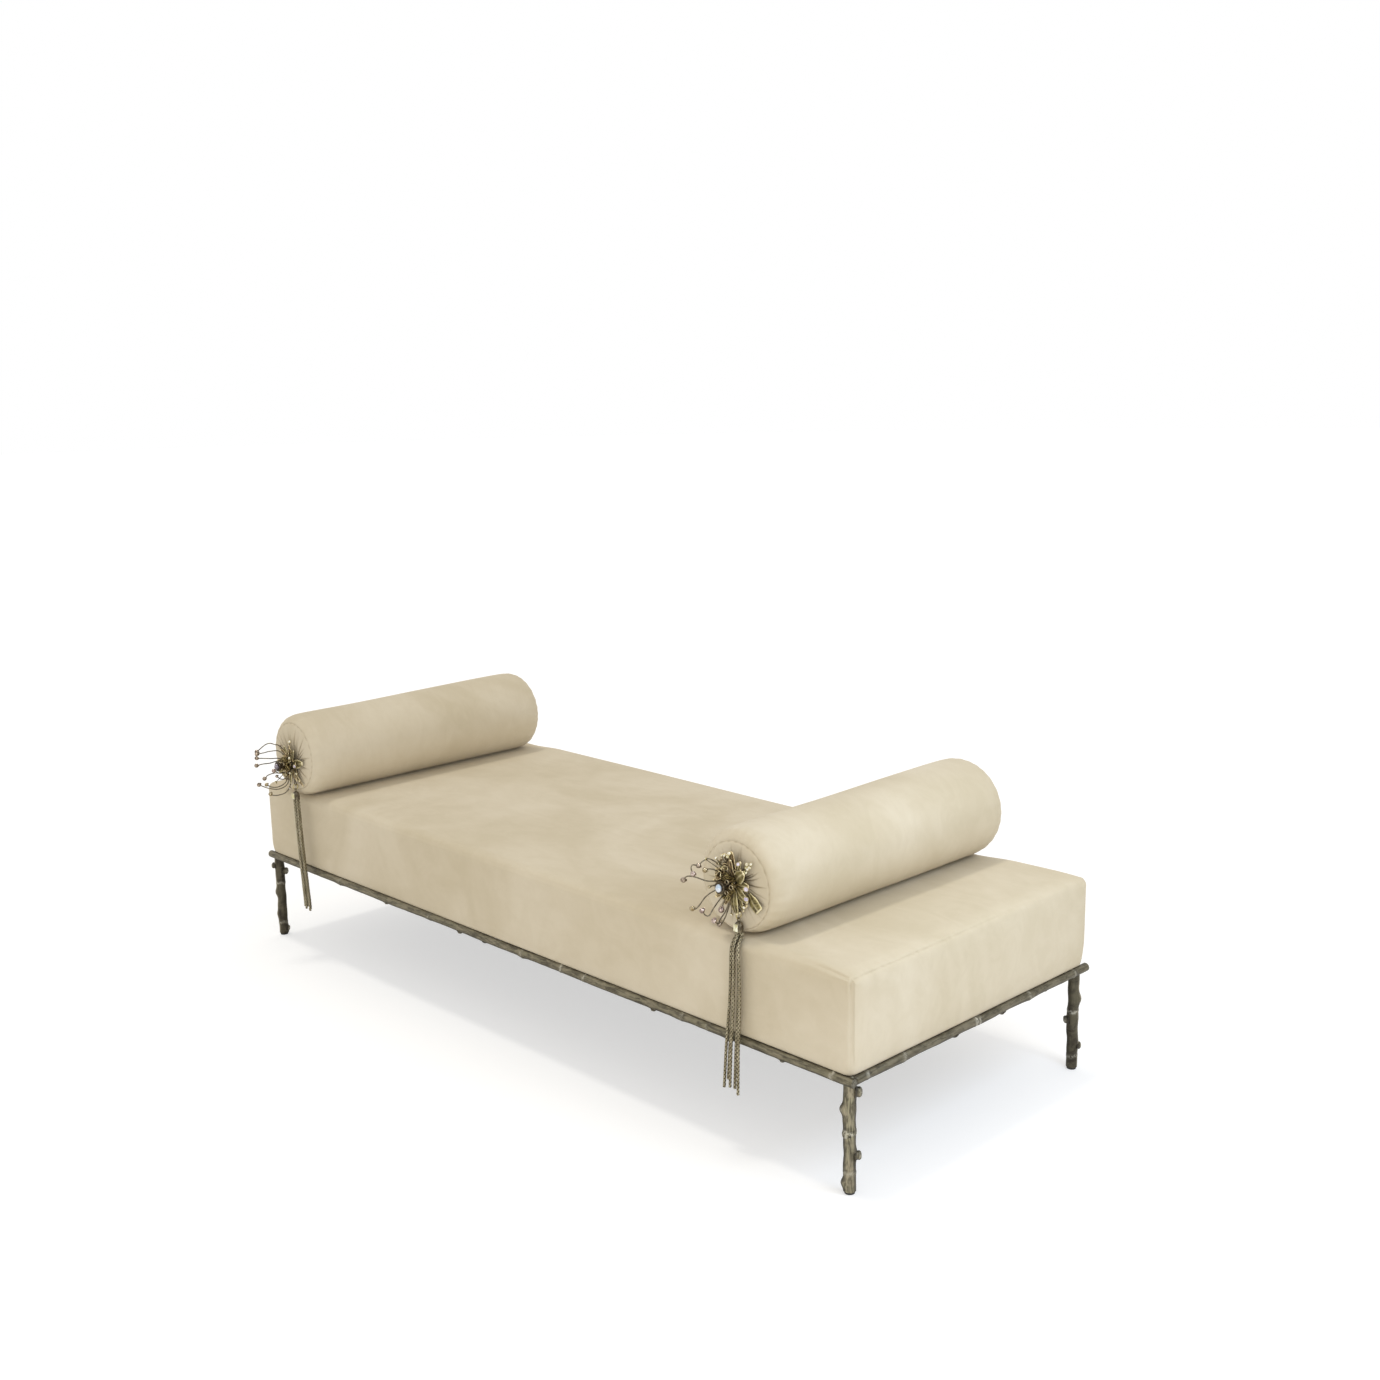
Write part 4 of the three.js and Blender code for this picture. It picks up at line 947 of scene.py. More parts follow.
def lining_sheet():
    """The lining with its hem turned under. Gives the corners and height that staples need."""
    low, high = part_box("dust_cover")
    xs = np.linspace(low.x, high.x, lining_steps[0])
    ys = np.linspace(low.y, high.y, lining_steps[1])
    grid = np.stack(np.meshgrid(xs, ys, indexing="ij"), axis=-1)
    across = np.sin(np.linspace(0, math.pi, lining_steps[0]))[:, None] ** 0.35
    along = np.sin(np.linspace(0, math.pi, lining_steps[1]))[None, :] ** 0.6
    height = high.z - 0.4 * MM - 2.6 * MM * across * along
    flat = grid.reshape(-1, 2)
    ripple = waves(np.column_stack([flat, np.zeros(len(flat))]), 8, 30, 1.2 * MM)
    height = height + ripple.reshape(lining_steps) * across * along
    rings = np.concatenate([grid, height[..., None]], axis=-1)
    shells = [loft(rings, False, False, ring_closed=False)]
    hem = 10 * MM
    under = high.z - 1.3 * MM
    edges = [(rings[0], (hem, 0)), (rings[-1], (-hem, 0)),
             (rings[:, 0], (0, hem)), (rings[:, -1], (0, -hem))]
    for row, inward in edges:
        edge = row.copy()
        edge[:, 2] = under
        inner = edge.copy()
        inner[:, :2] += inward
        shells.append(loft([row, edge, inner], False, False, ring_closed=False))
    sheet = piece("stapled_lining", shells, "base", lining, ["dust_cover"])
    return low, high, under


lining_low, lining_high, lining_under = lining_sheet()

# %% [markdown]
# ## Twigs cast in metal
# The rails and legs look like branches: they waver a little, swell at the knots, and carry the
# stumps of side shoots that were cut off. Each is one long skin of rings. Its radius is a sum:
# the twig, its swellings, fine bark ridges along it, and a ring at each scar. A sculpted mesh
# would do as well, but a sum can be changed number by number until it matches the photograph.
# Marks for scars, hollows and the side that faces out go with the points, and the finish reads
# them.
# That side turns olive gold: partly wear, partly painted light.

# %% Twig finish
def twig_finish(name, stretch, wear_and_light):
    """Dark brown metal, olive gold in streaks on its outer side: partly wear, partly painted light.
    """
    made = Finish(name, metallic=0.45, roughness=0.45)
    patches = made.noise(34, 4, 0.65, 0.6)
    streaks = made.noise(150, 3, 0.65, 0.8, stretch=stretch)
    specks = made.noise(190, 3, 0.7)
    base = made.blend(made.spread(patches, 0.36, 0.64), (0.035, 0.027, 0.015),
                      (0.098, 0.085, 0.052))
    # The side that faces out turns olive gold in streaks: partly wear, partly painted light.
    worn = made.mark("rubbed") * (0.2 + made.spread(streaks, 0.38, 0.6) * 0.8)
    gilt = made.blend(made.spread(patches, 0.4, 0.6), (0.36, 0.325, 0.205), (0.4, 0.345, 0.235))
    base = made.blend(worn * wear_and_light, base, gilt)
    base = made.blend(made.mark("hollow") * 0.85, base, (0.018, 0.013, 0.008))
    base = made.blend(made.spread(specks, 0.6, 0.78) * 0.28, base, (0.46, 0.42, 0.31))
    scar = made.mark("scar") * made.spread(specks, 0.35, 0.6)
    made.give("Base Color", made.blend(scar, base, (0.58, 0.55, 0.45)))
    made.give("Roughness", 0.34 + patches * 0.3 + scar * 0.15)
    made.relief(patches * 0.4 + streaks * 0.3 + specks * 0.3, 0.7 * MM, 0.8)
    return made.material


# Three copies of one metal: grain along each twig, painted light and wear most on legs, least on
# side rails.
leg_metal = twig_finish("cast_twig_metal_upright", (1, 1, 0.16), 0.85)
long_metal = twig_finish("cast_twig_metal_long", (0.16, 1, 1), 0.48)
side_metal = twig_finish("cast_twig_metal_deep", (1, 0.16, 1), 0.3)
print([metal.name for metal in (leg_metal, long_metal, side_metal)])

# %% Twig shells
chamfer = 1.6
stump_sides = 20
stump_marks = {
    "hollow": (0.9, 0.8, 0.5, 0.2, 0.1, 0, 0, 0, 0.1, 0.2, 0.2),
    "scar": (0, 0, 0, 0, 0.1, 0.3, 0.5, 0.6, 0.6, 0.5, 0.5),
}


def bark(turn, along, seed):
    """Fine ridges along a twig, between about -1 and 1."""
    slow = np.sin(3 * turn + along / 31 + seed) * 0.5
    slow = slow + np.sin(5 * turn - along / 47 + 2 * seed) * 0.35
    quick = np.sin(9 * turn + along / 19 + 3 * seed + 1.5 * np.sin(along / 13 + seed))
    lumps = np.sin(along / 8.3 + 2 * turn + seed) * np.sin(along / 21 + seed * 5)
    return 0.5 * slow + 0.25 * quick + 0.35 * lumps


def twig(start, axes, length, radius, wander, seed, knots=(), shoots=(), scars=(),
         sides=22, step=4.2):
    """A twig and its stumps. Places are shares of the length and sizes are shares of the radius."""
    along_axis, zero, ninety = (np.array(axis, float) for axis in axes)
    count = round(length / step)
    share = np.linspace(0, 1, count + 1)
    turn = np.arange(sides) / sides * math.tau

    def waver(at, turned_by):
        slow = np.sin(math.tau * (2.3 * at + turned_by))
        return 0.6 * slow + 0.4 * np.sin(math.tau * (5.1 * at + 2.7 * turned_by))

    fade = np.sin(math.pi * share)
    sway = np.stack([waver(share, seed), waver(share, seed + 0.37)], axis=1)
    middle = wander * fade[:, None] * sway
    grid_turn, grid_share = np.meshgrid(turn, share)
    reach = radius * (1 + 0.045 * bark(grid_turn, grid_share * length, seed * 9)
                      + 0.03 * (waver(share, seed + 0.61) * fade)[:, None])
    hollow = 0.35 * smooth(-bark(grid_turn, grid_share * length, seed * 9), 0.25, 0.8)
    scar = np.zeros_like(reach)
    roots = [(place, towards, 0.16, girth * 1.45) for place, towards, _, girth in shoots]
    for place, towards, rise, spread in list(knots) + roots:
        away = (grid_share - place) * length / (radius * spread)
        facing = np.clip(np.cos(grid_turn - math.radians(towards)), 0, 1)
        bump = np.exp(-away ** 2) * facing ** 2
        reach += radius * rise * bump
        hollow += 0.6 * np.exp(-(abs(away) - 1.3) ** 2 / 0.1) * facing
        scar += 0.5 * smooth(bump, 0.72, 0.95) * smooth(rise, 0.05, 0.2)
    for place, depth, pale in scars:
        away = (grid_share - place) * length
        wobble = 1.6 * np.sin(2 * grid_turn + place * 40) + 0.9 * np.sin(5 * grid_turn)
        reach += radius * depth * np.exp(-((away + wobble) / 2.4) ** 2)
        hollow += 0.8 * np.exp(-((away + wobble - 4) / 1.6) ** 2)
        scar += pale * np.exp(-((away + wobble) / 3.4) ** 2)
    rings = [(0, True, 0), (0, False, chamfer)] + [(i, False, 0) for i in range(1, count)]
    rings += [(-1, False, -chamfer), (-1, True, 0)]
    points, marks = [], {"hollow": [], "scar": []}
    for index, inset, shift in rings:
        at = share[index] * length + shift
        girth = reach[index] * (0.84 if inset else 1)
        ring = (np.asarray(start) + along_axis * at * MM
                + MM * ((middle[index, 0] + girth * np.cos(turn))[:, None] * zero
                        + (middle[index, 1] + girth * np.sin(turn))[:, None] * ninety))
        points.append(ring)
        marks["hollow"] += hollow[index].tolist()
        marks["scar"] += (np.maximum(scar[index], 0.2) if inset else scar[index]).tolist()
    shells = [loft(points)]
    for key, ends in (("hollow", 0.3), ("scar", 0.2)):
        marks[key] += [ends, ends]
    for place, towards, tall, girth in shoots:
        heading = math.radians(towards)
        way = math.cos(heading) * zero + math.sin(heading) * ninety
        root = np.asarray(start) + along_axis * place * length * MM
        top = radius * (1 + tall)
        wide = radius * girth
        outline = [
            (wide * 1.5, radius * 0.72, 0.4), (wide * 1.2, radius * 0.96),
            (wide * 1.04, radius * 1.08), (wide, radius + (top - radius) * 0.35),
            (wide * 1.05, top - wide * 0.62), (wide * 1.0, top - wide * 0.38),
            (wide * 0.86, top - wide * 0.2), (wide * 0.64, top - wide * 0.07),
            (wide * 0.4, top - wide * 0.02), (wide * 0.2, top), (0.1, top),
        ]
        lean = way + 0.12 * along_axis * math.sin(place * 50)
        shells.append(turned(outline, root, lean, stump_sides, ribs=5, rib_depth=0.035))
        for key, values in stump_marks.items():
            marks[key] += [value for value in values for _ in range(stump_sides)]
            marks[key] += [values[0], values[-1]]
    return shells, marks


bare_twig = twig((0, 0, 0), np.eye(3), length=100, radius=10, wander=1, seed=0.5)
print("a bare twig of 100 mm has", len(bare_twig[0][0][0]), "points")


# %% Twig pieces
def twig_piece(name, parts, stands_for, outside, metal):
    """Joins twigs into one piece, and marks how far each point faces out, for wear and painted
    light.
    """
    shells, hollow, scar = [], [], []
    for part_shells, marks in parts:
        shells += part_shells
        hollow += marks["hollow"]
        scar += marks["scar"]
    made = piece(name, shells, "base", metal, stands_for, marks={
        "hollow": np.clip(hollow, 0, 1), "scar": np.clip(scar, 0, 1),
    })
    outside = np.array(outside, float) / np.linalg.norm(outside)
    rubbed = smooth(places(made.data, "normal") @ outside, 0.45, 0.93)
    marked(made.data, "rubbed", rubbed)
    return made


def plain_marks(shell, hollow=0.1, scar=0.0):
    """Marks for a shell that has no knots."""
    return [shell], {"hollow": [hollow] * len(shell[0]), "scar": [scar] * len(shell[0])}


print("bare twigs have", len(plain_marks(bare_twig[0][0])[1]), "kinds of marks")

# %% Rails
rail_radius = 9.5
rail_wander = 1
right_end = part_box("right_rail")[1].y
back_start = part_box("back_rail")[0].x
rail_height = 0.236025
front_y, back_y = -0.34315, 0.44785
left_x, right_x = -1.05758, 1.06342
behind_front = 9.9
along_x = ((1, 0, 0), (0, 1, 0), (0, 0, 1))
along_y = ((0, 1, 0), (-1, 0, 0), (0, 0, 1))
front_knots = {
    "knots": [(0.17, 250, 0.2, 1.6), (0.36, 280, 0.15, 1.5), (0.533, 265, 0.28, 1.4),
              (0.78, 275, 0.22, 2)],
    "shoots": [(0.27, 262, 0.42, 0.55), (0.418, 255, 0.4, 0.6), (0.465, 285, 0.3, 0.7),
               (0.741, 258, 0.45, 0.6), (0.845, 268, 0.5, 0.6), (0.914, 262, 0.42, 0.55)],
    "scars": [(0.171, 0.05, 0.35), (0.361, 0.06, 0.5), (0.533, 0.07, 0.45), (0.599, 0.09, 0.9),
              (0.637, 0.08, 0.8), (0.783, 0.06, 0.4), (0.819, 0.05, 0.3), (0.976, 0.09, 0.85)],
}
side_knots = {
    "knots": [(0.18, 285, 0.2, 2), (0.715, 262, 0.2, 1.5)],
    "shoots": [(0.391, 268, 0.25, 0.7), (0.602, 280, 0.55, 0.65), (0.799, 300, 0.2, 0.55)],
    "scars": [(0.043, 0.08, 0.6), (0.183, 0.06, 0.5), (0.476, 0.07, 0.95), (0.49, 0.05, 0.7),
              (0.715, 0.06, 0.5), (0.93, 0.07, 0.5)],
}
back_knots = {
    "knots": [(0.22, 260, 0.2, 1.6), (0.61, 275, 0.25, 1.8)],
    "shoots": [(0.14, 268, 0.45, 0.6), (0.39, 280, 0.4, 0.55), (0.52, 262, 0.35, 0.6),
               (0.83, 272, 0.45, 0.6)],
    "scars": [(0.06, 0.07, 0.6), (0.3, 0.06, 0.5), (0.46, 0.07, 0.6), (0.7, 0.07, 0.7),
              (0.94, 0.06, 0.5)],
}


def rail(name, start, axes, length, seed, look, outside):
    """One rail as a twig along the length or the depth of the base."""
    shape = twig(start, axes, length, rail_radius, rail_wander, seed, **look)
    metal = long_metal if axes is along_x else side_metal
    return twig_piece(f"{name}_twig", [shape], [name], outside, metal)


rails = [
    rail("front_rail", (left_x - 10 * MM, front_y, rail_height), along_x,
         (right_x - left_x) / MM + 20.2, 0.1, front_knots, (0, -1, 0.5)),
    rail("right_rail", (right_x, front_y + behind_front * MM, rail_height), along_y,
         (right_end - front_y) / MM - behind_front, 0.4, side_knots, (1, 0, 0.5)),
    rail("back_rail", (back_start, back_y, rail_height), along_x,
         (right_x - back_start) / MM - 10, 0.7, back_knots, (0, 1, 0.5)),
    rail("left_rail", (left_x, front_y + behind_front * MM, rail_height), along_y,
         (back_y - front_y) / MM - 2 * behind_front, 0.9, side_knots, (-1, 0, 0.5)),
]
print("rails", [len(made.data.vertices) for made in rails])

# %% [markdown]
# ## Legs and corner plates
# Each leg is a short stout twig. A plate is welded to its top, and a bolt goes up through the
# plate into the seat frame. The weld is a small rippled bead round the leg. The plate is a ring
# of points on a square joined to a ring round the bolt's hole, so the hole needs no boolean.

# %% Legs
leg_looks = {
    "front_left": {
        "shoots": [(0.83, 222, 0.75, 0.66), (0.76, 40, 0.9, 0.75), (0.06, 44, 0.35, 0.6)],
        "knots": [(0.5, 225, 0.35, 0.9), (0.24, 230, 0.3, 0.8)],
        "scars": [(0.62, 0.08, 0.6), (0.14, 0.06, 0.5)],
    },
    "front_right": {
        "shoots": [(0.86, 46, 0.95, 0.8), (0.31, 44, 0.85, 0.7), (0.5, 268, 0.25, 0.6)],
        "knots": [(0.71, 226, 0.62, 0.85), (0.075, 222, 0.4, 0.7)],
        "scars": [(0.52, 0.09, 0.95), (0.17, 0.06, 0.45)],
    },
    "back_left": {
        "shoots": [(0.7, 215, 0.8, 0.65), (0.33, 60, 0.7, 0.6)],
        "knots": [(0.5, 45, 0.35, 1)],
        "scars": [(0.6, 0.07, 0.6), (0.2, 0.06, 0.5)],
    },
    "back_right": {
        "shoots": [(0.475, 222, 0.7, 0.66), (0.22, 44, 0.6, 0.66)],
        "knots": [(0.68, 46, 0.35, 1.1)],
        "scars": [(0.56, 0.08, 0.7), (0.12, 0.06, 0.5)],
    },
}
leg_axes = ((0, 0, 1), (1, 0, 0), (0, 1, 0))
leg_radius = 12.5
leg_wander = 1.2
plate_thickness = 5
plate_corner = 5
plate_bevel = 0.8
bolt_hole = 4.3
weld_radius = 13.2


def corner_plate(centre, low, high, top):
    """A plate with round corners and a hole for its bolt."""
    count = 64
    turns = np.arange(count) / count * math.tau
    way = np.stack([np.cos(turns), np.sin(turns)], axis=1)
    low, high, centre = np.array(low), np.array(high), np.array(centre)
    safe = np.where(abs(way) < 1e-9, 1e-9, way)
    limit = np.where(way > 0, (high - centre) / safe, (low - centre) / safe)
    square = centre + way * limit.min(axis=1)[:, None]
    corner = plate_corner * MM
    core = np.clip(square, low + corner, high - corner)
    away = square - core
    size = np.maximum(np.linalg.norm(away, axis=1), 1e-9)[:, None]
    outer = np.where(size > corner, core + away / size * corner, square)
    hole = centre + way * bolt_hole * MM
    bevel = plate_bevel * MM
    reach = np.linalg.norm(outer - centre, axis=1)[:, None]
    inner = centre + (outer - centre) * (1 - bevel / reach)
    bottom = top - plate_thickness * MM
    rows = [(hole, bottom), (inner, bottom), (outer, bottom + bevel), (outer, top - bevel),
            (inner, top), (hole, top), (hole, bottom)]
    rings = [np.column_stack([flat, np.full(count, height)]) for flat, height in rows]
    return loft(rings, False, False)


def leg(corner, index):
    """One leg as a twig, with its corner plate and the weld between them."""
    low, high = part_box(f"{corner}_leg")
    glide_low, glide_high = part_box(f"{corner}_glide")
    bolt_low, bolt_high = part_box(f"{corner}_bolt")
    foot = ((glide_low.x + glide_high.x) / 2, (glide_low.y + glide_high.y) / 2, low.z)
    sign_x, sign_y = (-1 if foot[0] < 0 else 1), (-1 if foot[1] < 0 else 1)
    length = (high.z - low.z) / MM - plate_thickness / 2
    stem = twig(foot, leg_axes, length, leg_radius, leg_wander, 0.23 * index,
                **leg_looks[corner], sides=28, step=3.4)
    inner_face = -0.5 * MM
    near = (foot[0] - sign_x * inner_face, foot[1] - sign_y * inner_face)
    far = (low.x if sign_x > 0 else high.x, low.y if sign_y > 0 else high.y)
    bolt = ((bolt_low.x + bolt_high.x) / 2, (bolt_low.y + bolt_high.y) / 2)
    plate = corner_plate(bolt, np.minimum(near, far), np.maximum(near, far), high.z)
    turns = np.linspace(0, math.tau, 61)
    reach = weld_radius * MM
    bead = [(foot[0] + reach * math.cos(t), foot[1] + reach * math.sin(t), high.z - 6.4 * MM)
            for t in turns]
    ripple = [(2.1 + 0.35 * math.sin(19 * t)) * MM for t in turns]
    return twig_piece(f"{corner}_twig_leg", [
        stem, plain_marks(plate, 0.25), plain_marks(tube(bead, ripple, 10), 0.5),
    ], [f"{corner}_leg"], (sign_x * 0.8, sign_y, 0.1), leg_metal)


for index, corner in enumerate(leg_looks):
    made = leg(corner, index)
    print(made.name, len(made.data.vertices))

# %% [markdown]
# ## The metal flowers
# Each bolster wears a metal flower: leaves with veins, petals, cut stones, a pearl in a fluted
# cup, three hollow tubes, and wires that end in balls. Places are written in millimetres from
# the middle of the bolster's end: across, out towards the viewer, and up. Scattering the parts
# by a rule would be shorter, but the two flowers differ and each part can be seen. So the places
# were worked out from the photograph, one depth at a time, on the flower's own layers.

# %% Metal, stone and pearl finishes
def leaf_finish(name, dark, light, edge):
    """Gilt leaves, dark in their veins and worn bright along the rim."""
    made = Finish(name, metallic=0.7, roughness=0.34)
    clouds = made.noise(120, 3, 0.6, 0.5)
    base = made.blend(made.spread(clouds, 0.35, 0.65), dark, light)
    base = made.blend(made.mark("vein") * 0.75, base, (0.05, 0.036, 0.016))
    made.give("Base Color", made.blend(made.mark("rim") * 0.9, base, edge))
    made.give("Roughness", 0.46 - made.mark("rim") * 0.18 + clouds * 0.1)
    made.relief(clouds, 0.2 * MM, 0.5)
    return made.material


def bronze_finish(name, dark, light, rough=0.42, metallic=0.75):
    """Cast bronze with clouds of tarnish and small dark pits."""
    made = Finish(name, metallic=metallic, roughness=rough)
    clouds = made.noise(150, 4, 0.65, 0.4)
    pits = made.noise(600, 2, 0.6)
    base = made.blend(made.spread(clouds, 0.35, 0.68), dark, light)
    pitted = made.spread(pits, 0.62, 0.8) * 0.4
    made.give("Base Color", made.blend(pitted, base, tuple(value * 0.3 for value in dark)))
    made.give("Roughness", rough - 0.08 + clouds * 0.2)
    made.relief(clouds * 0.7 + pits * 0.3, 0.25 * MM, 0.6)
    return made.material


def pearl_finish(name, low, high, rough=0.16):
    """A polished pearl or stone under a clear coat, with soft bands."""
    made = Finish(name, roughness=rough, coat_weight=0.7, coat_roughness=0.08)
    bands = made.noise(95, 2, 0.5, 0.8)
    made.give("Base Color", made.blend(made.spread(bands, 0.35, 0.65), low, high))
    made.relief(bands, 0.1 * MM, 0.3)
    return made.material


green_gold = leaf_finish("green_gold_leaf", (0.11, 0.083, 0.03), (0.46, 0.385, 0.15),
                         (0.9, 0.8, 0.52))
brown_gold = leaf_finish("brown_gold_leaf", (0.075, 0.045, 0.02), (0.34, 0.23, 0.1),
                         (0.84, 0.7, 0.42))
dark_bronze = bronze_finish("dark_bronze", (0.035, 0.024, 0.014), (0.13, 0.1, 0.06))
wire_bronze = bronze_finish("wire_bronze", (0.07, 0.055, 0.035), (0.26, 0.22, 0.15), 0.36)
gold = bronze_finish("worn_gold", (0.42, 0.34, 0.12), (0.74, 0.64, 0.34), 0.3, 0.9)
gold_dark = bronze_finish("dark_gold", (0.16, 0.12, 0.04), (0.46, 0.37, 0.17), 0.34, 0.85)
ball_metal = bronze_finish("ball_pewter", (0.13, 0.095, 0.065), (0.5, 0.41, 0.32), 0.16, 0.85)
ball_rose = bronze_finish("ball_rose_pewter", (0.24, 0.17, 0.14), (0.7, 0.58, 0.52), 0.16, 0.85)
ball_brass = bronze_finish("ball_brass", (0.26, 0.19, 0.09), (0.62, 0.54, 0.38), 0.16, 0.85)
pearl_dusky = pearl_finish("dusky_pearl", (0.16, 0.13, 0.16), (0.42, 0.38, 0.44))
pearl_white = pearl_finish("blue_white_pearl", (0.43, 0.53, 0.64), (0.76, 0.8, 0.86))
stone_lilac = pearl_finish("lilac_stone", (0.42, 0.36, 0.5), (0.86, 0.8, 0.88), 0.1)
stone_white = pearl_finish("white_stone", (0.62, 0.55, 0.36), (0.95, 0.92, 0.84), 0.08)
stone_straw = pearl_finish("straw_stone", (0.6, 0.54, 0.26), (0.93, 0.9, 0.7), 0.08)
print(len(bpy.data.materials), "finishes so far")


# %% Places and blades on a flower
def spot(side, across, out, up):
    """A place measured in millimetres from the middle of a bolster's front end."""
    end = bolster_ends[side]
    return end + MM * np.array((across, -out, up))


blade_rows, blade_columns = 22, 13
blade_thickness = 1.4


def blade(side, root, tip, width, bulge, square):
    """A veined leaf from root to tip, arched away from the cushion."""
    root, tip = np.array(root, float), np.array(tip, float)
    middle = (root + tip) / 2 + (0, bulge, 0)
    line = bowed([root, middle, tip], blade_rows)
    steps = np.gradient(line, axis=0)
    steps /= np.linalg.norm(steps, axis=1)[:, None]
    across = np.cross(steps, (0, 1, 0))
    across /= np.linalg.norm(across, axis=1)[:, None]
    face = np.cross(across, steps)
    face *= np.sign(face[:, 1])[:, None]
    wide = np.linspace(-1, 1, blade_columns)
    ridge = np.exp(-(wide / 0.13) ** 2)
    none = np.zeros(blade_columns)
    rings, rims, veins = [], [], []
    for i, share in enumerate(np.linspace(0, 1, blade_rows)):
        half = width / 2 * max(0.13, math.sin(math.pi * (0.1 + 0.82 * share)) ** 0.9)
        if square:
            half = width / 2 * (0.35 + 0.65 * min(1, share * 2.2)) * (1 - max(0, share - 0.93) * 4)
        ribs = np.clip(np.cos(math.tau * (share * 7 - abs(wide) * 1.6)), 0, 1) ** 3
        ribs = ribs * (abs(wide) < 0.9)
        cup = -0.14 * half * wide ** 2 + 0.035 * half * np.cos(9 * share + 5 * wide)
        raised = cup + 0.35 * ridge + 0.18 * ribs + blade_thickness / 2
        under = cup - blade_thickness / 2
        top = line[i] + np.outer(wide * half, across[i]) + np.outer(raised, face[i])
        low = line[i] + np.outer(wide * half * 0.97, across[i]) + np.outer(under, face[i])
        rings.append(np.concatenate([top, low[::-1]]))
        rim = np.concatenate([np.clip(abs(wide) * 5 - 4, 0, 1), none])
        rim = rim + 0.5 * np.concatenate([ridge, none]) + (share > 0.95)
        rims += np.clip(rim, 0, 1).tolist()
        vein = np.clip(1 - ribs - ridge, 0, 1) * (abs(wide) < 0.75) * 0.8
        veins += np.concatenate([vein, 0.6 + none]).tolist()
    end = bolster_ends[side]
    rings = [end + MM * ring * (1, -1, 1) for ring in rings]
    return loft(rings), rims + [1, 1], veins + [0, 0]


print("a blade has", blade_rows * blade_columns * 2 + 2, "points")

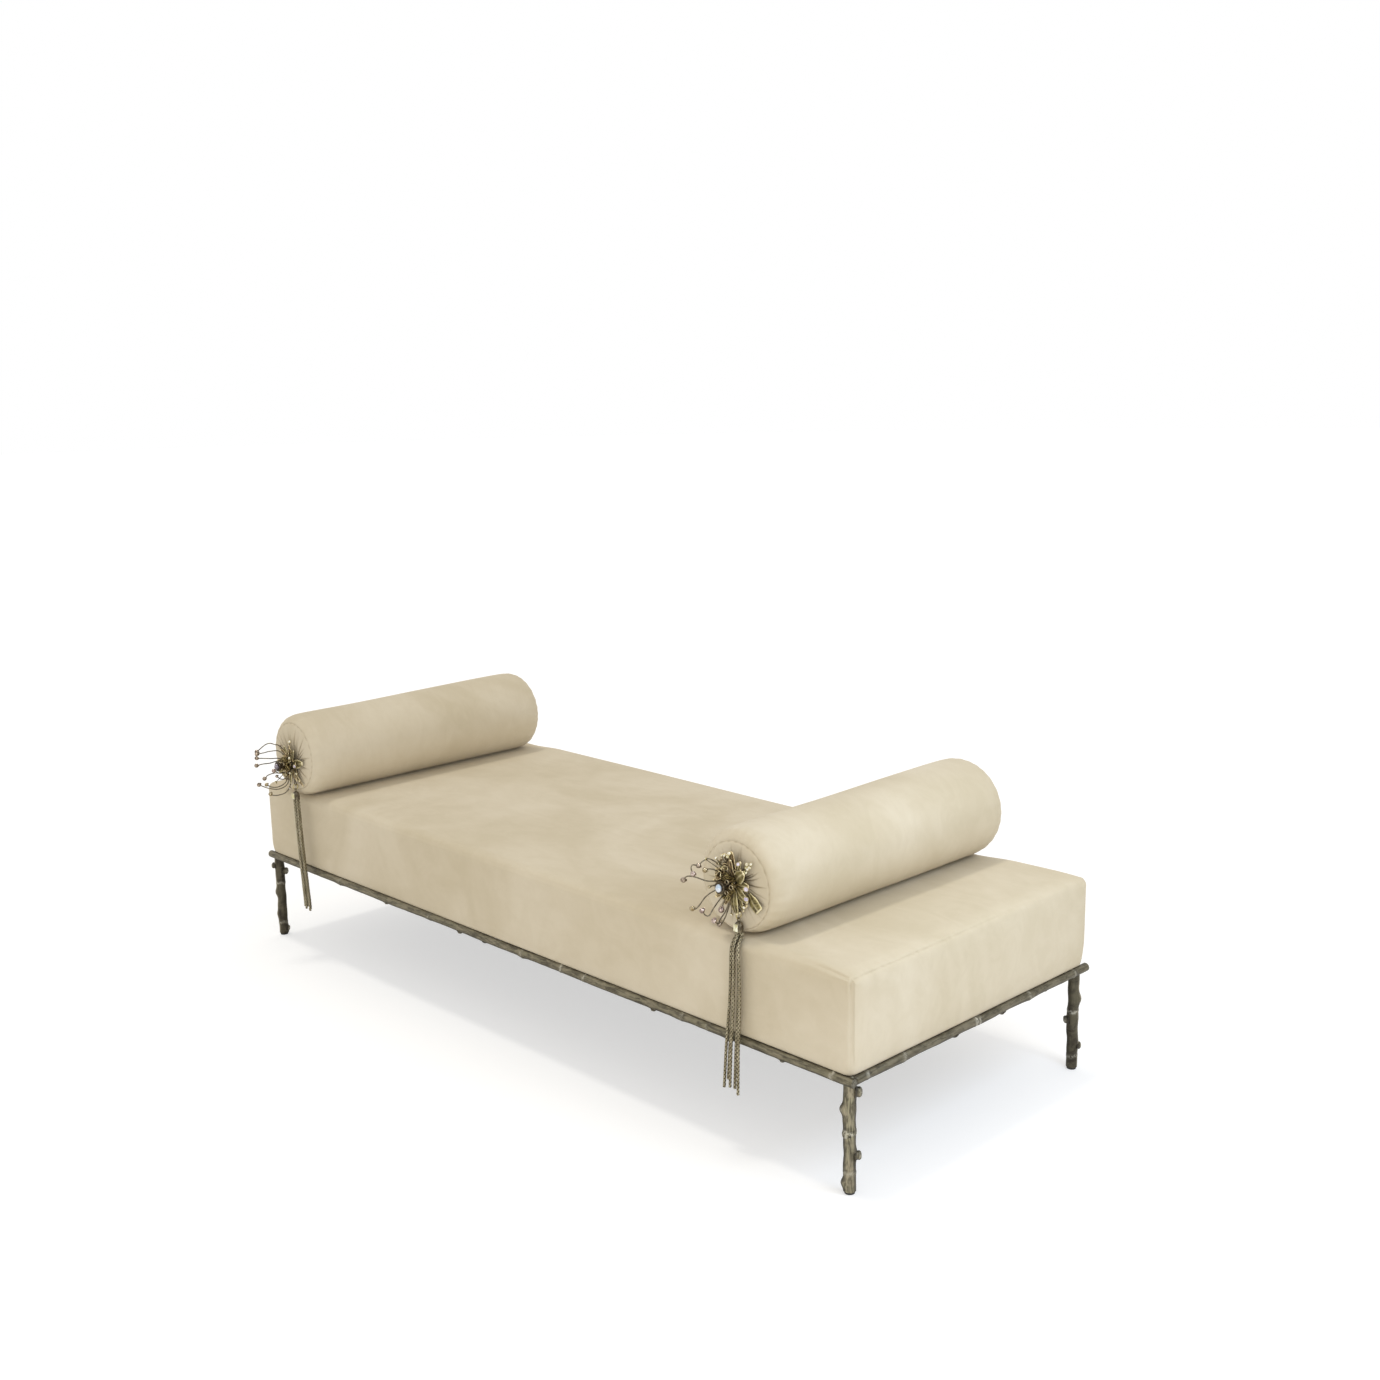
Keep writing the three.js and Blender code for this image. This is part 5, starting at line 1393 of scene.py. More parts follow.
# %% Flower tables
flowers = {
    "left": {
        "leaves": [(68, 0.95, 0.3, 1), (118, 0.8, 0.45, 0.9), (172, 0.75, 0.5, 0.8),
                   (215, 0.85, 0.4, 0.8),
                   (252, 0.9, 0.3, 0.9), (318, 1, 0.25, 1), (12, 0.9, 0.35, 1)],
        "blades": [
            ((6, 6, -20), (62, 10, -8), 19, 4), ((-2, 5, -12), (-28, 22, 26), 8, 3),
            ((-2, 5, -10), (-14, 18, 30), 8, 3), ((1, 5, -10), (6, 14, 34), 9, 3),
            ((4, 5, -14), (24, 12, 22), 8, 3), ((3, 5, -32), (24, 12, -58), 9, 3),
            ((4, 5, -30), (40, 9, -62), 10, 4), ((5, 5, -30), (52, 6, -74), 9, 4),
            ((0, 5, -32), (6, 16, -72), 9, 4), ((-4, 5, -30), (-4, 18, -66), 8, 4),
            ((-9, 6, -24), (-36, 26, -44), 11, 4),
        ],
        "tufts": [((-3, 14, 10), (-0.25, 0.55, 0.8), 17, 8),
                  ((10, 13, -6), (0.5, 0.6, 0.4), 13, 7)],
        "balls": [
            ((-49, 80, 19), 5.8, "pewter"), ((-32, 90, 17), 5.4, "pewter"),
            ((-45, 84, 3), 5.5, "pewter"), ((-23, 98, -11), 5.7, "pewter"),
            ((9, 66, -26), 5.5, "lilac"), ((-44, 66, -57), 5.6, "pewter"),
            ((-32, 90, -67), 5.7, "pewter"), ((-28, 70, -70), 5.2, "gold"),
            ((-25, 62, -97), 5.6, "gold"), ((-24, 40, -52), 4.2, "pewter"),
            ((-30, 20, 27), 3.4, "pewter"),
        ],
        "wires": [
            [(-14, 6, -12), (-23, 24, 27), (-24, 40, 36), (-30, 50, 40), (-37, 60, 37),
             (-45, 74, 25), (-49, 80, 19)],
            [(-14, 8, -14), (-24, 26, 14), (-27, 50, 19), (-29, 72, 18), (-32, 90, 17)],
            [(-15, 8, -18), (-24, 28, -5), (-27, 52, -1), (-38, 70, 1), (-45, 84, 3)],
            [(-15, 8, -22), (-26, 30, -12), (-27, 56, -13), (-25, 78, -11), (-23, 98, -11)],
            [(-9, 8, -31), (-10, 26, -42), (-2, 46, -38), (4, 58, -30), (9, 66, -26)],
            [(-11, 8, -31), (-20, 26, -44), (-32, 42, -44), (-42, 56, -49), (-44, 66, -57)],
            [(0, 8, -32), (-2, 22, -72), (-10, 44, -84), (-20, 66, -80), (-30, 82, -72),
             (-32, 90, -67)],
            [(-3, 8, -32), (-5, 24, -66), (-12, 42, -78), (-22, 58, -78), (-28, 70, -70)],
            [(3, 8, -32), (2, 16, -76), (-3, 28, -95), (-12, 44, -101), (-20, 56, -101),
             (-25, 62, -97)],
            [(-8, 8, -30), (-8, 22, -56), (-16, 32, -60), (-24, 40, -52)],
            [(-12, 6, -12), (-22, 12, 12), (-30, 20, 27)],
        ],
        "stones": [
            ((9, 14, 44), 4.2, "white"), ((16, 22, 2), 3.2, "white"),
            ((-32, 40, -70), 3.6, "white"), ((30, 16, -20), 4.4, "lilac"),
            ((14, 22, -40), 3, "white"), ((6, 20, -84), 3.2, "lilac"),
            ((34, 14, -40), 3, "white"), ((-4, 24, -46), 3, "white"),
        ],
        "tubes": [(-3, -18), (-13, -29), (3, -34)],
    },
    "right": {
        "leaves": [(100, 1.15, 0.3, 1), (140, 0.8, 0.45, 0.8), (178, 0.75, 0.5, 0.8),
                   (222, 0.85, 0.45, 0.8),
                   (322, 1.05, 0.25, 1), (8, 0.95, 0.3, 1), (48, 0.9, 0.35, 0.9)],
        "blades": [
            ((8, 8, 6), (42, 20, 34), 19, 5), ((4, 8, 12), (8, 24, 56), 13, 6),
            ((10, 8, 2), (50, 15, 6), 14, 4), ((6, 6, 10), (11, 22, 72), 13, 4),
            ((10, 10, -4), (47, 15, -28), 14, 4), ((3, 6, -10), (8, 18, -50), 9, 5),
            ((8, 12, -10), (22, 20, -58), 13, 5), ((-2, 5, -11), (-12, 20, -44), 10, 4),
            ((12, 7, -7), (34, 13, -50), 9, 4), ((-9, 5, -6), (-34, 22, -26), 11, 5),
            ((8, 6, 9), (30, 16, 54), 9, 4), ((-9, 5, 4), (-36, 22, 12), 10, 5),
        ],
        "square": [((42, 7, -12), (73, 10, -42), 18, 2)],
        "tufts": [((-18, 26, 24), (-0.45, 0.75, 0.45), 22, 12),
                  ((-4, 18, 40), (-0.1, 0.55, 0.8), 20, 10),
                  ((-24, 22, 42), (-0.5, 0.5, 0.7), 13, 7), ((16, 12, 32), (0.4, 0.5, 0.75), 14, 7),
                  ((-14, 16, -30), (-0.4, 0.5, -0.7), 15, 8)],
        "balls": [
            ((-55, 92, 16), 5.8, "pewter"), ((-33, 86, 32), 5.6, "lilac"),
            ((-36, 68, 44), 5.4, "pewter"), ((-24, 62, 36), 5.6, "gold"),
            ((-52, 72, -48), 5.8, "gold"), ((-18, 78, -43), 5.6, "lilac"),
            ((3, 66, -62), 5.6, "lilac"), ((-6, 42, -78), 5, "pewter"),
            ((-8, 34, -50), 6.6, "lilac"), ((-25, 50, -2), 3.4, "gold"),
        ],
        "wires": [
            [(-9, 6, 3), (-21, 28, 6), (-30, 50, 9), (-42, 72, 20), (-50, 86, 23), (-55, 92, 16)],
            [(-22, 24, 40), (-34, 40, 52), (-36, 56, 50), (-36, 68, 44)],
            [(-36, 68, 44), (-43, 78, 46), (-40, 84, 40), (-33, 86, 32)],
            [(-14, 26, 24), (-18, 44, 34), (-21, 54, 37), (-24, 62, 36)],
            [(-9, 6, -5), (-20, 28, -10), (-32, 50, -22), (-42, 62, -42), (-47, 68, -49),
             (-52, 72, -48)],
            [(-5, 6, -9), (-10, 32, -26), (-12, 52, -44), (-10, 66, -54), (-13, 74, -52),
             (-18, 78, -43)],
            [(-1, 6, -10), (-3, 24, -50), (-4, 40, -66), (2, 54, -72), (3, 60, -67), (3, 66, -62)],
            [(1, 6, -10), (-2, 22, -54), (-5, 34, -76), (-6, 42, -78)],
            [(-3, 6, -10), (-8, 22, -30), (-8, 34, -50)],
            [(-9, 8, 0), (-19, 34, 0), (-25, 50, -2)],
        ],
        "stones": [
            ((46, 15, 51), 3.4, "white"), ((52, 14, 46), 3.3, "white"),
            ((49, 16, 42), 3, "white"), ((55, 13, 53), 2.9, "white"),
            ((44, 15, 44), 2.8, "straw"), ((25, 18, 48), 4, "lilac"),
            ((41, 14, 34), 3.6, "straw"), ((46, 18, 1), 5, "lilac"), ((45, 17, -20), 5, "lilac"),
            ((36, 14, -40), 3.4, "white"), ((25, 15, -54), 3.4, "white"),
            ((8, 22, -60), 3.4, "white"), ((9, 27, 69), 4, "white"), ((6, 28, 62), 3, "straw"),
            ((-11, 28, 61), 3, "white"), ((-5, 26, 62), 3, "white"),
            ((-23, 32, 54), 3.2, "white"), ((-37, 48, 53), 3.2, "white"),
        ],
        "tubes": [(5, 9), (16, 1), (4, -12)],
    },
}
leaf_hub_outline = [
    (3.7, 0.1), (8.7, 0.1), (9.2, 1), (8.9, 2.6), (7.6, 3.6), (3.7, 3.6), (3.7, 0.1),
]
wire_hub_outline = [(3.7, 4), (8.7, 4), (9.6, 5.2), (9.2, 7.6), (7.4, 9), (3.7, 9), (3.7, 4)]
leaf_widening = {"left": 1.3, "right": 1.45}
stone_finish = {"white": stone_white, "lilac": stone_lilac, "straw": stone_straw}
ball_finish = {"pewter": ball_metal, "gold": ball_brass, "lilac": ball_rose}
print({side: {key: len(rows) for key, rows in flower.items()} for side, flower in flowers.items()})


# %% Leaves, petals and curls
def leaves_of(side, flower):
    """The leaves, blades and petals, as one green and one brown piece."""
    centre_across, centre_up = flower_centre[side]
    green, brown = [], []
    for angle, reach, rise, wide in flower["leaves"]:
        heading = math.radians(angle)
        far = 56 * reach
        root = (centre_across + 6.2 * math.cos(heading), 1.9, centre_up + 6.2 * math.sin(heading))
        tip = (centre_across + far * math.cos(heading), 1.9 + far * rise,
               centre_up + far * math.sin(heading))
        brown.append((root, tip, 13 * wide, -far * rise * 0.16, False))
    green += [(*row, False) for row in flower["blades"][::2]]
    green += [(*row, True) for row in flower.get("square", [])]
    brown += [(*row, False) for row in flower["blades"][1::2]]
    for (across, out, up), heading, size, count in flower["tufts"]:
        heading = np.array(heading) / np.linalg.norm(heading)
        first = np.cross(heading, (0.3, 1, 0.2))
        first /= np.linalg.norm(first)
        second = np.cross(heading, first)
        for i in range(count):
            turn = i / count * math.tau
            lean = 1.15 if i % 2 else 0.6
            sideways = first * math.cos(turn) + second * math.sin(turn)
            way = heading * math.cos(lean) + sideways * math.sin(lean)
            root = np.array((across, out, up)) - heading * size * 0.25
            petal = (root, root + way * size * (0.85 if i % 2 else 0.7), size * 0.36, 1.5, False)
            (green if i % 4 == 1 else brown).append(petal)
    for name, rows, finish, node in (("leaves", green, green_gold, [f"{side}_leaf_spray"]),
                                     ("brown_leaves", brown, brown_gold, [])):
        shells, rims, veins = [], [], []
        for root, tip, width, bulge, square in rows:
            shell, rim, vein = blade(side, root, tip, width * leaf_widening[side], bulge, square)
            shells.append(shell)
            rims += rim
            veins += vein
        if name == "leaves":
            hub = turned(leaf_hub_outline, spot(side, centre_across, 0, centre_up), (0, -1, 0),
                         sides=48, ribs=12, rib_depth=0.05)
            shells.append(hub)
            rims += [0.2] * len(hub[0])
            veins += [0.5] * len(hub[0])
        piece(f"{side}_flower_{name}", shells, f"{side}_bolster", finish, node,
              marks={"rim": rims, "vein": veins})


def curls(side):
    """Small rings of wire that fill the flower between its leaves."""
    centre_across, centre_up = flower_centre[side]
    shells = []
    for i in range(16):
        heading = 2.4 * i
        away = 12 + (i * 7) % 17
        middle = np.array((centre_across + away * math.cos(heading), 15 + (i * 5) % 14,
                           centre_up + away * math.sin(heading)))
        size = 3.6 + (i * 3) % 4 * 0.7
        first = np.array((math.cos(heading), 0.5, math.sin(heading)))
        second = np.array((-math.sin(heading), 0.8 * math.sin(3 * i), math.cos(heading)))
        ring = [middle + size * (first * math.cos(t) + second * math.sin(t))
                for t in np.linspace(0, 5.4, 20)]
        post = np.array((centre_across, 8, centre_up))
        root = post + (middle - post) * 0.35
        line = bowed([root, (root + ring[0]) / 2 + (0, 2, 0), ring[0]], 8).tolist()
        line += [point.tolist() for point in ring[1:]]
        shells.append(tube([spot(side, *point) for point in line], 1.05 * MM, 8))
    return shells


print("leaves are drawn wider by", leaf_widening)


# %% Stones and their cups
def stone(centre, radius, axis):
    """A cut stone: a flat table, a ring of sloping faces and a pointed back."""
    outline = [
        (radius * 0.1, -radius * 0.55), (radius * 0.98, -radius * 0.06), (radius, 0.04 * radius),
        (radius * 0.8, radius * 0.3), (radius * 0.5, radius * 0.42), (radius * 0.05, radius * 0.42),
    ]
    return turned(outline, centre, axis, sides=10, ribs=5, rib_depth=0.04)


def collet(centre, radius, axis):
    """The metal cup that holds a stone, with claws over its edge."""
    outline = [
        (radius * 0.3, -radius * 0.8, 0), (radius * 0.7, -radius * 0.72, 0.3),
        (radius * 1.12, -radius * 0.15), (radius * 1.16, radius * 0.16),
        (radius * 1.02, radius * 0.2), (radius * 1.0, -radius * 0.02),
        (radius * 0.5, -radius * 0.5, 0.2), (radius * 0.1, -radius * 0.55, 0),
    ]
    return turned(outline, centre, axis, sides=40, ribs=8, rib_depth=0.035)


def stones_of(side, flower):
    """The cut stones, one piece of each colour, and their cups."""
    centre_up = flower_centre[side][1]
    stones, collets = {}, []
    for place, radius, kind in flower["stones"]:
        centre = spot(side, *place)
        axis = (place[0] * 0.012, -1, (place[2] - centre_up) * 0.012)
        stones.setdefault(kind, []).append(stone(centre, radius, axis))
        collets.append(collet(centre, radius, axis))
    for kind, shells in stones.items():
        piece(f"{side}_flower_stones_{kind}", shells, f"{side}_bolster",
              stone_finish[kind], smooth=False)
    piece(f"{side}_flower_collets", collets, f"{side}_bolster", gold)


print("a cut stone has", len(stone((0, 0, 0), 1, (0, 0, 1))[1]), "faces")


# %% Wires and balls
def wires_of(side, flower, middle):
    """The long wires with the hub that binds them, the stems of the stones, and the curls."""
    centre_across, centre_up = flower_centre[side]
    wires = [
        tube(bowed([spot(side, *point) for point in route], 34), 1.35 * MM, 10)
        for route in flower["wires"]
    ]
    hub = turned(wire_hub_outline, middle, (0, -1, 0), sides=54, ribs=18, rib_depth=0.06)
    loop = [(9.3 * math.cos(t), -6.2 - 0.5 * math.sin(3 * t), 9.3 * math.sin(t))
            for t in np.linspace(0, math.tau, 40)]
    binding = tube([middle + MM * np.array(point) for point in loop], MM, 8)
    stems = []
    for place, _, _ in flower["stones"]:
        away = np.array(place, float) - (centre_across, 0, centre_up)
        bend = np.array((centre_across, 4, centre_up)) + away * (0.62, 0.5, 0.62)
        start = np.array((centre_across, 6, centre_up)) + away * (0.12, 0, 0.12)
        route = [spot(side, *start), spot(side, *bend), spot(side, *place)]
        stems.append(tube(bowed(route, 16), 0.95 * MM, 8))
    piece(f"{side}_flower_wires", wires + [hub, binding] + stems, f"{side}_bolster",
          wire_bronze, [f"{side}_stamens"])
    piece(f"{side}_flower_curls", curls(side), f"{side}_bolster", gold_dark)
    print(side, "flower:", len(wires), "wires and", len(stems), "stems")


def balls_of(side, flower, middle):
    """The balls at the ends of the wires, one piece of each metal."""
    groups = {}
    for place, radius, kind in flower["balls"]:
        centre = spot(side, *place)
        back = middle - centre
        groups.setdefault(kind, []).append(ball(centre, radius, 18, back / np.linalg.norm(back)))
    for kind, shells in groups.items():
        slot = "gilt" if kind == "gold" else "bronze"
        piece(f"{side}_flower_balls_{kind}", shells, f"{side}_bolster", ball_finish[kind])


# %% Tubes and pearl
post_outline = [(3.7, 9.3), (8.7, 9.3), (9.3, 10.6), (8.6, 12.6), (3.7, 12.9), (3.7, 9.3)]
tube_outline = [
    (0.3, 0.2), (4.3, 0.2), (4.4, 4), (4.2, 9), (4.5, 16), (5.1, 20.6), (5.1, 22), (4.5, 22.6),
    (3.8, 22.2), (3.4, 20), (3, 12), (2.6, 4), (0.3, 3.5),
]
cup_outline = [
    (3.75, 38.1), (3.75, 29.9), (7, 29.9), (7.6, 33, 0.5), (7.2, 36.5, 0.5), (8.8, 38.8),
    (11.4, 41), (12.6, 43.4), (12.9, 45), (12.5, 46.6), (11.6, 47.2, 0.7), (10.2, 46.8, 0.4),
    (8.6, 46.2, 0.2), (7.2, 46.8, 0), (6.9, 45.6, 0), (5.6, 43.2, 0), (3, 42.1, 0), (0.3, 42, 0),
]
pearl_radius = 7.6


def tubes_of(side, flower, middle):
    """Three hollow tubes that stand on a ribbed collar of the flower's post."""
    centre_across, centre_up = flower_centre[side]
    tubes = [turned(post_outline, middle, (0, -1, 0), sides=40, ribs=10, rib_depth=0.06)]
    for across, up in flower["tubes"]:
        lean = np.array((across - centre_across, 0, up - centre_up)) * 0.012
        axis = np.array((lean[0], -1, lean[2]))
        base = spot(side, centre_across + (across - centre_across) * 0.8, 9.6,
                    centre_up + (up - centre_up) * 0.8)
        tubes.append(turned(tube_outline, base, axis, sides=24, ribs=6, rib_depth=0.035))
    piece(f"{side}_flower_tubes", tubes, f"{side}_bolster", ball_brass,
          [f"{side}_tube_cluster"])


def pearl_of(side, middle):
    """The large pearl, and the fluted cup with beads that holds it."""
    cup = turned(cup_outline, middle, (0, -1, 0), sides=88, ribs=22, rib_depth=0.045)
    beads = [
        ball(middle + MM * np.array((11.9 * math.cos(t), -46.4, 11.9 * math.sin(t))), 1.3, 8)
        for t in np.arange(18) / 18 * math.tau
    ]
    piece(f"{side}_pearl_cup", [cup] + beads, f"{side}_bolster", dark_bronze,
          [f"{side}_pearl_setting"])
    points, faces = ball(middle, pearl_radius, 32)
    centre_across, centre_up = flower_centre[side]
    points = (np.array(points) - middle) * (0.86, 0.86, 1.1)
    points = points + spot(side, centre_across, 48.4, centre_up)
    piece(f"{side}_pearl_stone", [(points, faces)], f"{side}_bolster",
          pearl_white if side == "right" else pearl_dusky, [f"{side}_pearl"])


for side, flower in flowers.items():
    middle = spot(side, flower_centre[side][0], 0, flower_centre[side][1])
    leaves_of(side, flower)
    wires_of(side, flower, middle)
    balls_of(side, flower, middle)
    stones_of(side, flower)
    tubes_of(side, flower, middle)
    pearl_of(side, middle)
    print(side, "flower's middle at", middle.round(4).tolist())

# %% [markdown]
# ## Back plate, eye, ring and cap
# The flower's plate has a stud into the bolster in front and a post that carries the layers. An
# arm comes down from it and ends in an eye. A ring hangs in the eye, and the tassel's cap hangs
# on the ring. One mesh for the whole chain would be simpler, but the ring and the cap move, so
# each is a piece of its own on its own body.

# %% Hanging parts
def hoop(centre, radius, wire, first, second, sides=10, count=48):
    """A round ring of wire in the plane of two directions."""
    first, second = np.array(first, float), np.array(second, float)
    third = np.cross(first, second)
    around = np.arange(sides) / sides * math.tau
    rings = []
    for turn in np.arange(count) / count * math.tau:
        out = first * math.cos(turn) + second * math.sin(turn)
        rings.append(centre + MM * (out * (radius + wire * np.cos(around))[:, None]
                                    + third * (wire * np.sin(around))[:, None]))
    rings.append(rings[0])
    return loft(rings, False, False)


eyes = {"left": (18, 10, -70), "right": (20, 13, -51)}
plate_outline = [
    (0.3, -32), (3, -32), (3.2, -31), (3.2, -2.4), (17.6, -2.2), (18, -1.8), (18, -0.7),
    (17.5, -0.2), (15, -0.3, 0.5), (3.4, -0.2, 0), (3.4, 37.2, 0), (2.9, 37.8, 0), (0.3, 37.8, 0),
]
cap_outline = [
    (0.3, 0.2), (7.6, 0.2), (8.8, 0), (9, 1.2), (8.3, 2), (8.7, 3), (8.9, 6, 1), (8.6, 11, 1),
    (8.8, 13.4, 0.5), (8.9, 14.4, 0), (8, 15.2, 0), (7.4, 17.4, 0.6), (6.6, 19.4, 0.8),
    (4.4, 21, 0.6), (3.1, 22, 0), (0.3, 22.2, 0),
]
print("eyes at", {side: spot(side, *place).round(4).tolist() for side, place in eyes.items()})


# %% Plate, ring and cap of each side
def flower_plate(side):
    """The plate with its stud and post, and the arm that comes down to the eye."""
    centre_across, centre_up = flower_centre[side]
    across, out, up = eyes[side]
    middle = spot(side, centre_across, 0, centre_up)
    disc = turned(plate_outline, middle, (0, -1, 0), sides=56, ribs=14, rib_depth=0.02)
    hook = spot(side, across, out, up)
    bend = spot(side, centre_across + (across - centre_across) * 0.4, 4.3, centre_up - 32.4)
    route = [spot(side, centre_across, -1, centre_up - 16), bend, hook + (0, 0, 5 * MM)]
    arm = tube(bowed(route, 24), 1.5 * MM, 10)
    eye = hoop(hook, 5, 1.1, (1, 0, 0), (0, 0, 1))
    piece(f"{side}_flower_plate", [disc, arm, eye], f"{side}_bolster", dark_bronze,
          [f"{side}_ornament_plate"])


def hanging_ring(side):
    """The ring that links the eye and the cap, in a plane across both of them."""
    low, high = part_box(f"{side}_tassel_ring")
    link = np.array(((low.x + high.x) / 2, (low.y + high.y) / 2, (low.z + high.z) / 2))
    piece(f"{side}_hanging_ring", [hoop(link, 7, 1.1, (0, 1, 0), (0, 0, 1))], f"{side}_ring",
          gold, [f"{side}_tassel_ring"])


def tassel_cap(side):
    """The turned cap with its loop, and the square stone on its front."""
    low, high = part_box(f"{side}_tassel_cap")
    foot = np.array(((low.x + high.x) / 2, (low.y + high.y) / 2, low.z))
    cap = turned(cap_outline, foot, (0, 0, 1), sides=64, ribs=16, rib_depth=0.045)
    loop = hoop(foot + (0, 0, 26 * MM), 4, 1.1, (1, 0, 0), (0, 0, 1))
    piece(f"{side}_gilt_cap", [cap, loop], f"{side}_tassel", wire_bronze,
          [f"{side}_tassel_cap"])
    corners = ((-5.4, 0), (5.4, 0), (5.4, 15.5), (-5.4, 15.5))
    gem = [
        foot + MM * np.array([
            (x * grow, -8.6 - out, 2.5 + 7.75 + (z - 7.75) * grow) for x, z in corners
        ])
        for grow, out in ((1, 0), (1.06, 1.2), (0.74, 3.4))
    ]
    piece(f"{side}_cap_gem", [loft(gem)], f"{side}_tassel", stone_straw, smooth=False)


for side in eyes:
    flower_plate(side)
    hanging_ring(side)
    tassel_cap(side)
    print(side, "plate, ring and cap")

# %% [markdown]
# ## Frame, bolts and glides
# The timber frame, the bolts and the glides are straight sawn or turned parts. They could be
# drawn anew, but would look the same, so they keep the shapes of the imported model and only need
# finishes: sawn wood with its grain along the board, zinc-plated steel, and dark nylon. Small
# staples hold the lining to the boards.

# %% Finishes of wood, steel and nylon
def timber_finish(name, stretch):
    """Sawn wood with its grain drawn out along the board."""
    made = Finish(name, roughness=0.72)
    rings = made.noise(22, 4, 0.6, 1.2, stretch=stretch)
    pores = made.noise(260, 2, 0.6, stretch=stretch)
    base = made.blend(made.spread(rings, 0.35, 0.65), (0.4, 0.25, 0.12), (0.62, 0.45, 0.26))
    pored = made.spread(pores, 0.55, 0.75) * 0.5
    made.give("Base Color", made.blend(pored, base, (0.26, 0.15, 0.07)))
    made.relief(rings * 0.5 + pores * 0.5, 0.3 * MM, 0.5)
    return made.material


def steel_finish():
    """Zinc-plated steel with dull smears."""
    made = Finish("plated_steel", metallic=0.9, roughness=0.35)
    smears = made.noise(130, 3, 0.6)
    tone = made.blend(made.spread(smears, 0.35, 0.7), (0.42, 0.42, 0.4), (0.66, 0.66, 0.64))
    made.give("Base Color", tone)
    made.give("Roughness", 0.28 + smears * 0.25)
    made.relief(smears, 0.1 * MM, 0.3)
    return made.material


def nylon_finish():
    """Dark nylon with light scuffs."""
    made = Finish("dark_nylon", roughness=0.55)
    scuffs = made.noise(240, 3, 0.7)
    tone = made.blend(made.spread(scuffs, 0.55, 0.75), (0.03, 0.028, 0.026), (0.11, 0.1, 0.095))
    made.give("Base Color", tone)
    made.relief(scuffs, 0.1 * MM, 0.4)
    return made.material


timber_long = timber_finish("timber_along", (0.06, 1, 1))
timber_deep = timber_finish("timber_across", (1, 0.06, 1))
steel = steel_finish()
nylon = nylon_finish()
print([finish.name for finish in (timber_long, timber_deep, steel, nylon)])


# %% Carried-over parts and staples
def dress(finish, *names):
    """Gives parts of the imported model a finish."""
    for name in names:
        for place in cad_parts[name].material_slots:
            place.material = finish


dress(timber_long, "front_board", "back_board", "deck_panel")
dress(timber_deep, "left_board", "right_board", "cross_slat_1", "cross_slat_2", "cross_slat_3")
dress(steel, *(f"{corner}_bolt" for corner in leg_looks))
dress(nylon, *(f"{corner}_glide" for corner in leg_looks))


def staples():
    """Short wires over the turned edge of the lining, a hand apart."""
    rows = []
    inset = 5 * MM
    for x in np.arange(lining_low.x + 0.12, lining_high.x - 0.1, 0.085):
        rows += [((x, y), (1, 0)) for y in (lining_low.y + inset, lining_high.y - inset)]
    for y in np.arange(lining_low.y + 0.12, lining_high.y - 0.1, 0.085):
        rows += [((x, y), (0, 1)) for x in (lining_low.x + inset, lining_high.x - inset)]
    shells = []
    bent = [(-5.2, 2.2), (-5.1, 0.6), (-4.4, 0), (0, -0.1), (4.4, 0), (5.1, 0.6), (5.2, 2.2)]
    for (x, y), (way_x, way_y) in rows:
        route = [
            (x + way_x * along * MM, y + way_y * along * MM, lining_under - 0.35 * MM + up * MM)
            for along, up in bent
        ]
        shells.append(tube(route, 0.45 * MM, 6))
    piece("lining_staples", shells, "base", steel)
    print(len(rows), "staples")


staples()

# %% [markdown]
# ## Floor and light
# The floor is white to the camera, and still keeps the object's shadow: its finish is part
# plain white light and part plain matt paint. The world is white to the camera and in glossy
# reflections, and gives a moderate light all round. A picture of a studio could light it too,
# but plain lamps can be set one by one. There are three: a weak sun nearly overhead, a little to
# the left, for the shadows, a small cool panel above the right end, and a large soft panel at
# the front right.

# %% Floor
floor_glow = 1.24
floor_share = 0.44


def floor_finish():
    """Nearly white to the camera, and still takes a shadow."""
    made = Finish("white_floor", roughness=0.9)
    made.give("Base Color", (1.0, 0.995, 0.985))
    shown = made.node("ShaderNodeLightPath", output="Is Camera Ray")
    plain = made.node("ShaderNodeEmission", {}, {"Color": (1, 1, 1), "Strength": floor_glow})
    paint = Wire(made, made.shader.outputs[0])
    mixed = made.node("ShaderNodeMixShader", {}, {0: shown * floor_share, 1: paint, 2: plain})
    made.feed(made.tree.nodes["Material Output"].inputs["Surface"], mixed)
    return made.material


def floor():
    """A wide disc just under the feet."""
    turns = np.arange(96) / 96 * math.tau
    rings = [
        [(radius * math.cos(t), radius * math.sin(t), -0.0005) for t in turns]
        for radius in (0.5, 3, 9, 30)
    ]
    points, faces = loft(rings, True, False)
    mesh = bpy.data.meshes.new("studio_floor")
    mesh.from_pydata([tuple(point) for point in points], [], faces)
    mesh.materials.append(floor_finish())
    thing = bpy.data.objects.new("studio_floor", mesh)
    bpy.context.scene.collection.objects.link(thing)
    thing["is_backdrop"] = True
    print(thing.name, len(points), "points")


floor()

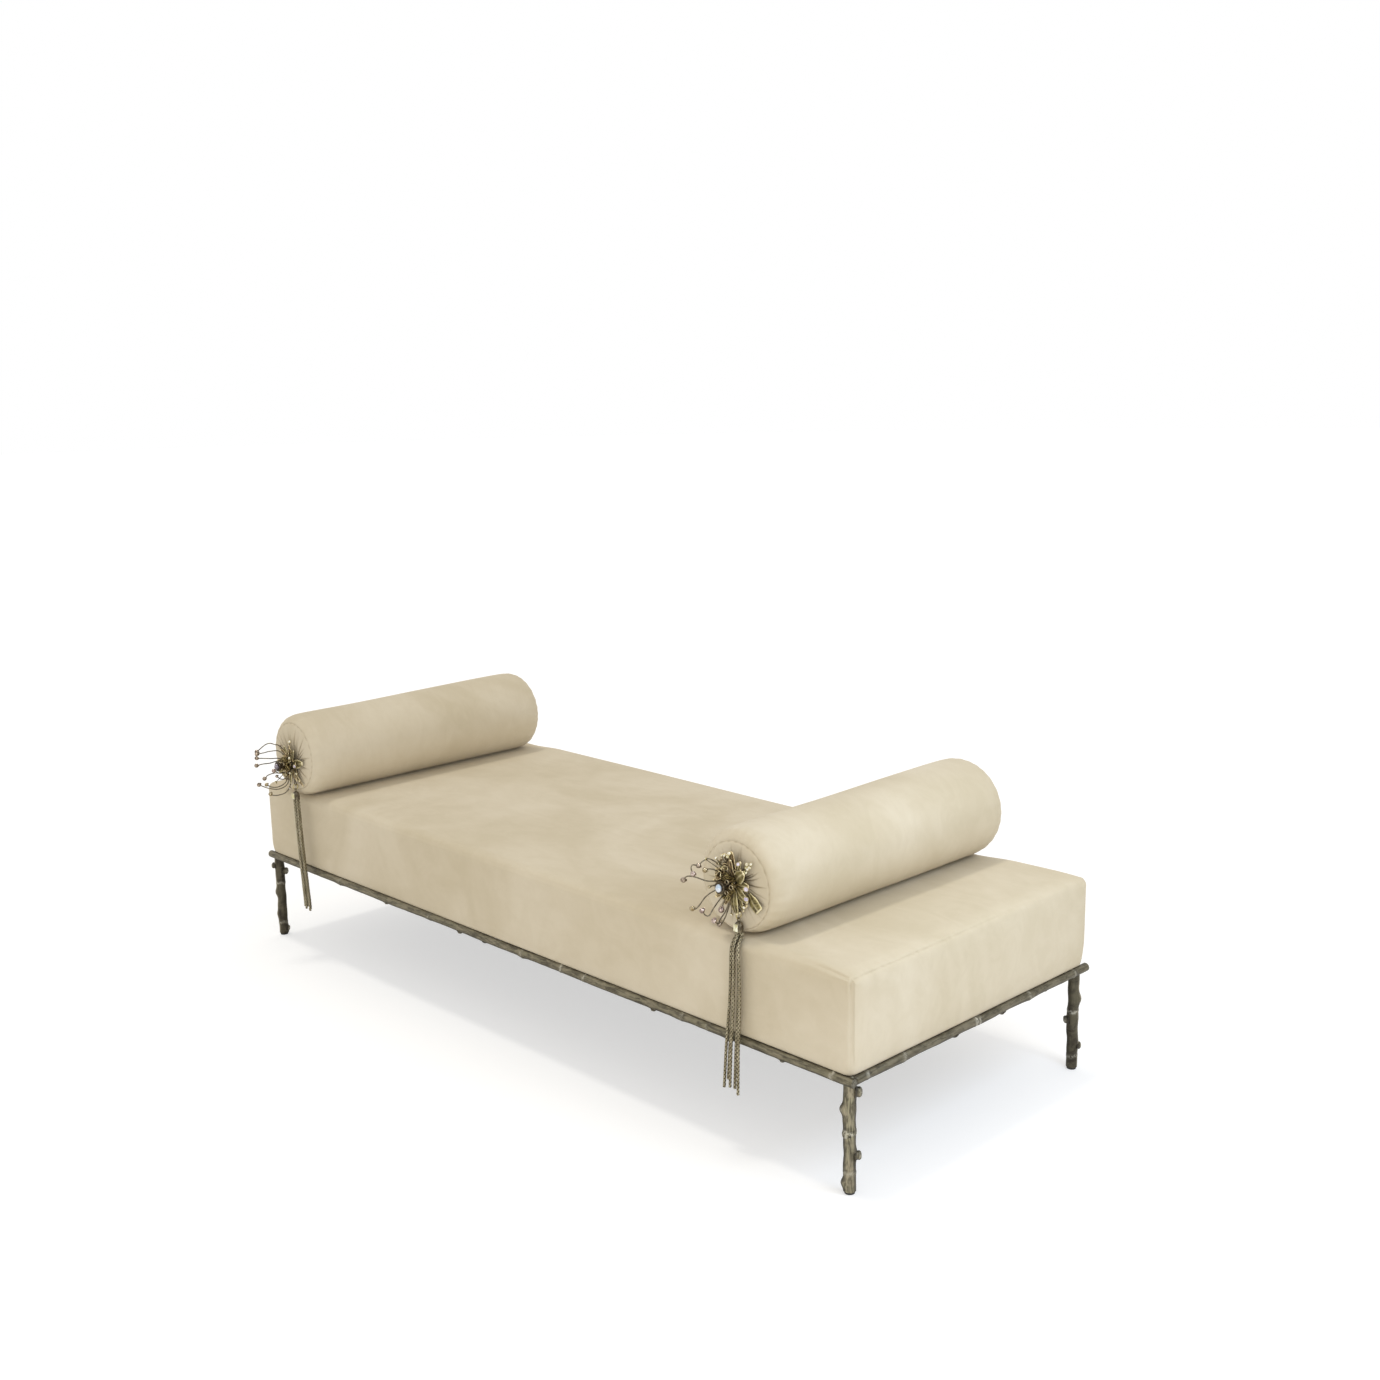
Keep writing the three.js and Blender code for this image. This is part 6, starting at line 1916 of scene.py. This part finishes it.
# %% World and lamps
world = bpy.data.worlds.new("studio")
world.use_nodes = True
bpy.context.scene.world = world
bpy.context.scene.view_settings.view_transform = "Standard"
sky = Network(world.node_tree)
camera_ray = sky.node("ShaderNodeLightPath", output="Is Camera Ray")
glossy_ray = sky.node("ShaderNodeLightPath", output="Is Glossy Ray")
through_ray = sky.node("ShaderNodeLightPath", output="Is Transmission Ray")
ambient = 0.72
dim = sky.node("ShaderNodeBackground", {}, {"Color": (1.0, 0.982, 0.952), "Strength": ambient})
white = sky.node("ShaderNodeBackground", {}, {"Color": (1, 1, 1), "Strength": 1.0})
seen = (camera_ray + glossy_ray + through_ray).held()
sky.feed(world.node_tree.nodes["World Output"].inputs["Surface"],
         sky.node("ShaderNodeMixShader", {}, {0: seen, 1: dim, 2: white}))


def lamp(name, kind, place, target, energy, colour, **shape):
    """A lamp that shines from one place to another and is never seen itself."""
    data = bpy.data.lights.new(name, kind)
    data.energy = energy
    data.color = colour
    for key, value in shape.items():
        setattr(data, key, value)
    thing = bpy.data.objects.new(name, data)
    thing.location = place
    thing.rotation_euler = (Vector(target) - Vector(place)).to_track_quat("-Z", "Y").to_euler()
    thing.visible_camera = False
    bpy.context.scene.collection.objects.link(thing)


lamp("key_sun", "SUN", (-0.15, -0.04, 1.0), (0, 0, 0), 0.7, (1, 0.97, 0.9), angle=math.radians(7))
lamp("right_panel", "AREA", (1.85, 0.06, 1.3), (0.95, 0.05, 0.4), 8.5, (0.66, 0.8, 1.0),
     shape="RECTANGLE", size=0.6, size_y=0.6)
lamp("front_panel", "AREA", (2.6, -3.4, 1.5), (0.5, -0.2, 0.4), 20, (1, 0.975, 0.93),
     shape="RECTANGLE", size=2.4, size_y=1.6)

# %% [markdown]
# ## Sizes and finish
# The last step prints how far the dressed part reaches past the imported model's box.
# The dressed part must stay close to the imported model's box.

# %% Finish
shown_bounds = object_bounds()
sizes = {
    "frame": [list(map(float, corner)) for corner in frame_bounds],
    "shown": [list(map(float, corner)) for corner in shown_bounds],
}
print("grown by (mm)", [
    round((shown - packed) * sign / MM, 1)
    for sign, packed_corner, shown_corner in zip((-1, 1), sizes["frame"], sizes["shown"])
    for packed, shown in zip(packed_corner, shown_corner)
])
